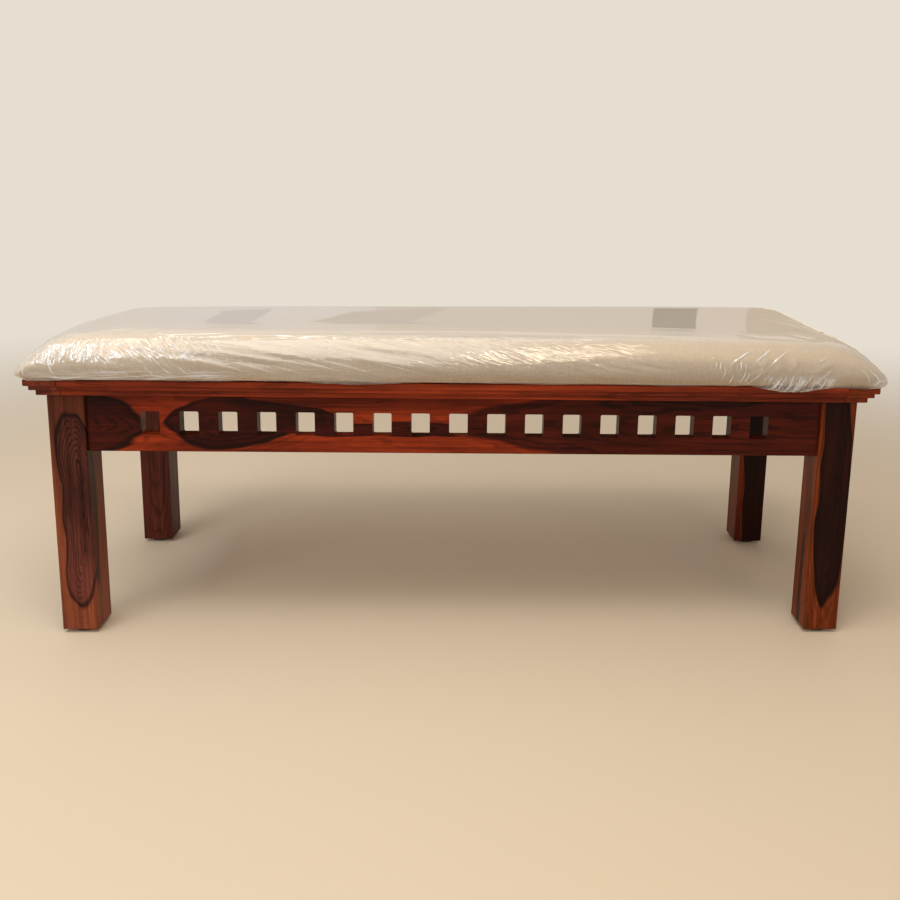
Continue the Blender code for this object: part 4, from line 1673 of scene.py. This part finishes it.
WOODEN_NODES = {
    "leg_front_left": Rosewood(
        GrainAxis.Z,
        (
            HeartMass((-0.5480, -0.200, 0.237), (0.0310, 0.030, 0.104), lean=-9.0),
            HeartMass((-0.5470, -0.200, 0.186), (0.0315, 0.026, 0.110)),
            HeartMass((-0.5470, -0.200, 0.137), (0.0300, 0.022, 0.102), lean=8.0),
        ),
        TimberTones.of((130, 66, 40), (110, 55, 44), (40, 16, 13)),
        rings=9.0,
        # Painted shade: this leg's colour darkens towards its top
        dusk=0.6,
    ),
    "leg_front_right": Rosewood(
        GrainAxis.Z,
        (
            HeartMass((0.5640, -0.200, 0.205), (0.0260, 0.030, 0.177)),
            HeartMass((0.5580, -0.200, 0.345), (0.0175, 0.030, 0.100)),
            HeartMass((0.5360, -0.172, 0.060), (0.0040, 0.006, 0.088), depth=0.85),
        ),
        TimberTones.of((118, 50, 17), (38, 11, 6), (20, 5, 4)),
        rings=5.0,
        offset=3.1,
    ),
    "leg_rear_left": Rosewood(
        GrainAxis.Z,
        (HeartMass((-0.560, 0.160, 0.170), (0.060, 0.060, 0.400), depth=0.80, edge=0.2),),
        TimberTones.of((98, 45, 34), (76, 33, 25), (44, 19, 15)),
        rings=9.0,
        offset=6.4,
    ),
    "leg_rear_right": Rosewood(
        GrainAxis.Z,
        (
            HeartMass((0.571, 0.150, 0.270), (0.0310, 0.030, 0.220)),
            HeartMass((0.566, 0.150, 0.060), (0.0210, 0.030, 0.120)),
        ),
        TimberTones.of((112, 44, 19), (34, 10, 6), (20, 6, 5)),
        offset=9.2,
    ),
    "apron_front": Rosewood(
        GrainAxis.X,
        (
            HeartMass((-0.548, -0.192, 0.3250), (0.092, 0.030, 0.046)),
            HeartMass((-0.337, -0.192, 0.3240), (0.093, 0.030, 0.043)),
            HeartMass((-0.268, -0.192, 0.3400), (0.106, 0.030, 0.0190), lean=5.0),
            HeartMass((-0.130, -0.192, 0.3165), (0.200, 0.020, 0.0100)),
            HeartMass((-0.170, -0.192, 0.3720), (0.270, 0.030, 0.0260), depth=0.50, edge=0.5),
            HeartMass((0.450, -0.192, 0.3250), (0.460, 0.040, 0.0580), depth=0.90),
            HeartMass((0.380, -0.192, 0.3620), (0.240, 0.030, 0.0300), edge=0.3),
        ),
        TimberTones.of((140, 48, 19), (64, 17, 9), (24, 5, 4)),
        rings=5.0,
        offset=12.7,
    ),
    "apron_rear": Rosewood(
        GrainAxis.X,
        (
            HeartMass((0.360, 0.192, 0.330), (0.190, 0.030, 0.034)),
            HeartMass((-0.060, 0.192, 0.300), (0.150, 0.030, 0.028), depth=0.85),
            HeartMass((-0.430, 0.192, 0.340), (0.120, 0.030, 0.040)),
        ),
        rings=4.0,
        offset=15.3,
    ),
    "apron_left": Rosewood(
        GrainAxis.Y,
        (HeartMass((-0.582, 0.040, 0.318), (0.030, 0.090, 0.034)),),
        rings=4.0,
        offset=18.9,
    ),
    "apron_right": Rosewood(
        GrainAxis.Y,
        (HeartMass((0.582, -0.060, 0.330), (0.030, 0.110, 0.038), depth=0.9),),
        rings=4.0,
        offset=21.6,
    ),
    "long_rail_front": Rosewood(
        GrainAxis.X,
        (
            HeartMass((-0.420, -0.215, 0.378), (0.240, 0.030, 0.0055), depth=0.75, edge=0.4),
            HeartMass((-0.560, -0.215, 0.385), (0.380, 0.080, 0.0500), depth=0.55, edge=0.7),
            HeartMass((0.400, -0.215, 0.377), (0.280, 0.030, 0.0100), depth=0.75, edge=0.5),
        ),
        TimberTones.of((154, 58, 27), (94, 34, 18), (38, 13, 9)),
        rings=3.0,
        offset=24.1,
        fineness=2.4,
    ),
    "long_rail_rear": Rosewood(
        GrainAxis.X,
        (HeartMass((0.100, 0.215, 0.380), (0.420, 0.030, 0.0080), depth=0.6, edge=0.4),),
        TimberTones.of((116, 43, 20), (74, 27, 14), (38, 13, 9)),
        rings=3.0,
        offset=27.8,
        fineness=2.4,
    ),
    "end_rail_left": Rosewood(
        GrainAxis.Y,
        (HeartMass((-0.600, -0.100, 0.376), (0.030, 0.150, 0.010), depth=0.7, edge=0.3),),
        TimberTones.of((126, 56, 35), (84, 37, 25), (36, 15, 11)),
        rings=4.0,
        offset=30.5,
        fineness=2.4,
    ),
    "end_rail_right": Rosewood(
        GrainAxis.Y,
        (HeartMass((0.600, 0.080, 0.374), (0.030, 0.170, 0.009), depth=0.7, edge=0.3),),
        TimberTones.of((122, 50, 20), (74, 28, 14), (38, 14, 9)),
        rings=4.0,
        offset=33.2,
        fineness=2.4,
    ),
}

CROSS_RAILS = {
    "cross_rail_left": PlainTimber(GrainAxis.Y, offset=1.7),
    "cross_rail_right": PlainTimber(GrainAxis.Y, offset=4.3),
}
CORNER_BLOCK = PlainTimber(GrainAxis.X, offset=7.9)
PLYWOOD_TONES = TimberTones.of((206, 170, 122), (182, 140, 94), (150, 108, 68))
PLYWOOD = PlainTimber(GrainAxis.X, PLYWOOD_TONES, rings=9.0, roughness=0.34)
CORNERS = ("front_left", "front_right", "rear_right", "rear_left")
SCREWS = ("frame_screw_{}", "seat_screw_{}", "block_screw_{}_a", "block_screw_{}_b")


@dataclass(frozen=True)
class TimberFrame:
    """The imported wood, screws and glides, which keep their shape and get their finish here."""

    nodes: dict[str, bpy.types.Object]

    def coat(self, node: str, material: bpy.types.Material) -> None:
        """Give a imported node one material, and report it."""
        paint(self.nodes[node].data, material)
        LOG.info("%s: %s", node, material.name)

    def dress(self) -> None:
        """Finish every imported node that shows."""
        for node, finish in WOODEN_NODES.items():
            self.coat(node, finish.material(f"rosewood_{node}"))
        for node, finish in CROSS_RAILS.items():
            self.coat(node, finish.material(f"plain_{node}"))
        block = CORNER_BLOCK.material("plain_corner_block")
        plywood = PLYWOOD.material("plywood")
        steel = ZincSteel().material("zinc_steel")
        plastic = BlackPlastic().material("black_plastic")
        self.coat("seat_board", plywood)
        for corner in CORNERS:
            self.coat(f"corner_block_{corner}", block)
            self.coat(f"glide_{corner}", plastic)
            for screw in SCREWS:
                self.coat(screw.format(corner), steel)


@dataclass(frozen=True)
class PhotoCamera:
    """The camera, from the place, turn and frame that the bench was seen in.

    Lengths named px are in pixels of the frame, and angles are in degrees.
    """

    frame_px: float = 900.0
    focal_px: float = 873.97
    centre_px: Pair = (489.07, 344.70)
    place: Triple = (-0.0033, -1.4325, 0.6663)
    yaw: float = 2.1257
    pitch: float = 10.0995
    roll: float = 1.0434
    sensor: float = 36.0

    def build(self) -> bpy.types.Object:
        """Place the camera and make it the scene's.

        Returns:
            The camera.
        """
        yaw, pitch, roll = (math.radians(angle) for angle in (self.yaw, self.pitch, self.roll))
        ahead = Vector((math.sin(yaw) * math.cos(pitch), math.cos(yaw) * math.cos(pitch), -math.sin(pitch)))
        level = Vector((math.cos(yaw), -math.sin(yaw), 0.0))
        above = level.cross(ahead)
        right = math.cos(roll) * level + math.sin(roll) * above
        up = math.cos(roll) * above - math.sin(roll) * level
        data = bpy.data.cameras.new("camera")
        data.sensor_width = self.sensor
        data.lens = self.focal_px / self.frame_px * self.sensor
        data.shift_x = 0.5 - self.centre_px[0] / self.frame_px
        data.shift_y = self.centre_px[1] / self.frame_px - 0.5
        camera = bpy.data.objects.new("camera", data)
        turn = Matrix((right, up, -ahead)).transposed().to_4x4()
        camera.matrix_world = Matrix.Translation(self.place) @ turn
        bpy.context.scene.collection.objects.link(camera)
        bpy.context.scene.camera = camera
        return camera


@dataclass(frozen=True)
class Softbox:
    """A rectangular lamp that faces a point, or straight down where it has none.

    One that isn't mirrored gives soft light alone.
    """

    name: str
    place: Triple
    size: Pair
    power: float
    colour: Triple
    aim: Triple | None = None
    mirrored: bool = True

    def build(self) -> None:
        """Hang the lamp."""
        data = bpy.data.lights.new(self.name, "AREA")
        data.shape = "RECTANGLE"
        data.size, data.size_y = self.size
        data.energy = self.power
        data.color = self.colour
        lamp = bpy.data.objects.new(self.name, data)
        toward = Vector(self.aim or (*self.place[:2], 0.0)) - Vector(self.place)
        turn = toward.to_track_quat("-Z", "Y").to_matrix().to_4x4()
        lamp.matrix_world = Matrix.Translation(self.place) @ turn
        lamp.visible_camera = False
        lamp.visible_glossy = self.mirrored
        bpy.context.scene.collection.objects.link(lamp)


@dataclass(frozen=True)
class MirrorCard:
    """An upright card behind the bench. It shows in mirrors alone, to give the film tones to mirror."""

    name: str
    span: Pair
    rise: Pair
    behind: float
    colour: Colour
    lean: float = 0.0

    def build(self) -> None:
        """Stand the card: one face, its upper edge moved along X by the lean."""
        (left, right), (low, high) = self.span, self.rise
        x = np.array([left, right, right + self.lean, left + self.lean])
        corners = np.stack([x, np.full(4, self.behind), np.array([low, low, high, high])], axis=1)
        mesh = bpy.data.meshes.new(self.name)
        mesh.from_pydata(corners, [], [(0, 1, 2, 3)])
        card = add_object(self.name, mesh)
        material, graph, _ = new_material(self.name)
        glow = graph.node("Emission", {"Color": self.colour})
        graph.feed(material.node_tree.nodes["Material Output"].inputs["Surface"], glow.outputs[0])
        paint(mesh, material)
        card.visible_camera = False
        card.visible_diffuse = False
        card.visible_transmission = False
        card.visible_shadow = False


LAMPS = (
    Softbox("front_key", (-1.9, -2.7, 1.7), (2.0, 1.4), 36.0, (0.94, 0.96, 0.97), (-0.1, 0.0, 0.35), False),
    Softbox("front_fill", (1.8, -2.8, 1.3), (1.4, 1.0), 12.0, (1.0, 0.86, 0.70), (0.1, 0.0, 0.35), False),
    Softbox("over_front", (-0.5, -0.9, 2.5), (2.4, 0.8), 26.0, (0.86, 0.94, 1.0), (-0.2, -0.1, 0.4), False),
    Softbox("over_sheen", (-0.40, -0.9, 2.2), (1.2, 3.0), 13.0, (0.90, 0.96, 1.0)),
    Softbox("left_cool", (-1.41, -0.72, 1.85), (0.20, 1.9), 9.0, (0.58, 0.80, 1.0)),
    Softbox("left_warm", (-1.13, -0.50, 1.85), (0.24, 2.2), 3.3, (1.0, 0.90, 0.80)),
    Softbox("middle_low", (0.28, -1.15, 2.05), (0.24, 0.6), 1.9, (1.0, 0.84, 0.62), (0.10, -0.2, 0.44)),
    Softbox("middle_high", (0.36, -0.58, 1.85), (0.50, 0.26), 3.2, (1.0, 0.86, 0.64)),
    Softbox("ridge_strip", (-0.3, 1.6, 2.0), (1.8, 0.10), 2.4, (1.0, 0.98, 0.95), (0.0, -0.15, 0.45)),
)

CARD_RISE: Pair = (-0.2, 1.5)
CARD_BEHIND = 2.64
PATCH_BEHIND = 2.60
CARDS = (
    MirrorCard("card_left", (-4.0, -0.39), CARD_RISE, CARD_BEHIND, srgb(219, 208, 196)),
    MirrorCard("card_middle", (-0.39, 1.14), CARD_RISE, CARD_BEHIND, srgb(212, 198, 181)),
    MirrorCard("card_step", (1.14, 1.38), CARD_RISE, CARD_BEHIND, srgb(215, 199, 182)),
    MirrorCard("card_right", (1.38, 4.0), CARD_RISE, CARD_BEHIND, srgb(202, 185, 164)),
    MirrorCard("card_patch_left", (-1.08, -0.86), (0.65, 0.98), PATCH_BEHIND, srgb(204, 195, 185), -0.12),
    MirrorCard("card_patch_middle", (-0.50, -0.04), (0.74, 0.93), PATCH_BEHIND, srgb(203, 190, 175), -0.22),
    MirrorCard("card_patch_right", (0.915, 1.125), (0.84, 1.00), PATCH_BEHIND, srgb(173, 160, 144)),
    MirrorCard("card_low_right", (1.45, 3.2), (-0.2, 0.56), PATCH_BEHIND, srgb(254, 232, 200)),
)


@dataclass(frozen=True)
class Studio:
    """A pale floor that fades into a pale backdrop, soft lamps and a soft sky.

    The floor is a disc of sectors and rings, and fade is how far out the backdrop starts and takes over.
    """

    floor_colour: Colour = srgb(207, 184, 156)
    floor_roughness: float = 0.7
    backdrop: Colour = srgb(230, 222, 209)
    sky: Colour = (1.0, 0.97, 0.93, 1.0)
    sky_strength: float = 0.42
    radius: float = 14.0
    sectors: int = 96
    rings: int = 12
    weld: float = 1e-6
    fade: Pair = (0.9, 3.2)

    def build(self) -> None:
        """Lay the floor, set the sky, hang the lamps and stand the cards."""
        self.lay_floor()
        self.set_sky()
        for item in LAMPS + CARDS:
            item.build()
        bpy.context.scene.view_settings.view_transform = "Standard"

    def lay_floor(self) -> None:
        """A disc as a profile of radii carried round, with the bench's shadow near and the backdrop far."""
        turn = np.linspace(0.0, 2 * math.pi, self.sectors, endpoint=False)
        radii = np.linspace(self.radius, 0.0, self.rings)[:, None]
        flat = np.broadcast_arrays(radii * np.cos(turn), radii * np.sin(turn), np.zeros_like(radii))
        floor = add_object("floor", grid_mesh("floor", np.stack(flat, axis=-1), merge=self.weld))
        material, graph, shader = new_material("floor")
        far = graph.spread(graph.length(graph.place()), *self.fade)
        glow = graph.node("Emission", {"Color": self.backdrop})
        share = graph.times(far, self.seen(graph))
        graph.feed_all(shader, {"Base Color": self.floor_colour, "Roughness": self.floor_roughness})
        blend = graph.node("MixShader", {0: share, 1: shader.outputs[0], 2: glow.outputs[0]})
        graph.feed(material.node_tree.nodes["Material Output"].inputs["Surface"], blend.outputs[0])
        paint(floor.data, material)

    @staticmethod
    def seen(graph: Graph) -> Socket:
        """1 for rays that look: from the camera, in a mirror or through glass.

        Args:
            graph: The tree of the floor or the sky.

        Returns:
            The mask.
        """
        path = graph.node("LightPath").outputs
        mirrored = graph.math("MAXIMUM", path["Is Camera Ray"], path["Is Glossy Ray"])
        return graph.math("MAXIMUM", mirrored, path["Is Transmission Ray"])

    def set_sky(self) -> None:
        """Light with the sky, and show the backdrop to rays that look."""
        world = bpy.data.worlds.new("studio")
        world.use_nodes = True
        bpy.context.scene.world = world
        graph = Graph(world.node_tree)
        light = world.node_tree.nodes["Background"]
        graph.feed_all(light, {"Color": self.sky, "Strength": self.sky_strength})
        shown = graph.node("Background", {"Color": self.backdrop, "Strength": 1.0})
        blend = graph.node("MixShader", {0: self.seen(graph), 1: light.outputs[0], 2: shown.outputs[0]})
        graph.feed(world.node_tree.nodes["World Output"].inputs["Surface"], blend.outputs[0])


def main() -> None:
    """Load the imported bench, dress it, and set it in the studio."""
    logging.basicConfig(level=logging.INFO, format="%(name)s: %(message)s")
    for item in list(bpy.data.objects):
        bpy.data.objects.remove(item, do_unlink=True)
    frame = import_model()
    PhotoCamera().build()
    Studio().build()
    TimberFrame(frame["nodes"]).dress()
    LOG.info("dressed %d packed nodes", len(frame["nodes"]))
    form = SeatForm.from_frame()
    pad = SeatCushion(form)
    cushion = pad.build()
    pad.dress(cushion)
    LOG.info("seat_cushion: %d points", len(cushion.data.vertices))
    film = ClearWrap(form)
    wrap = film.build(cushion)
    film.dress(wrap)
    LOG.info("clear_wrap: %d points", len(wrap.data.vertices))


if __name__ == "__main__":
    main()
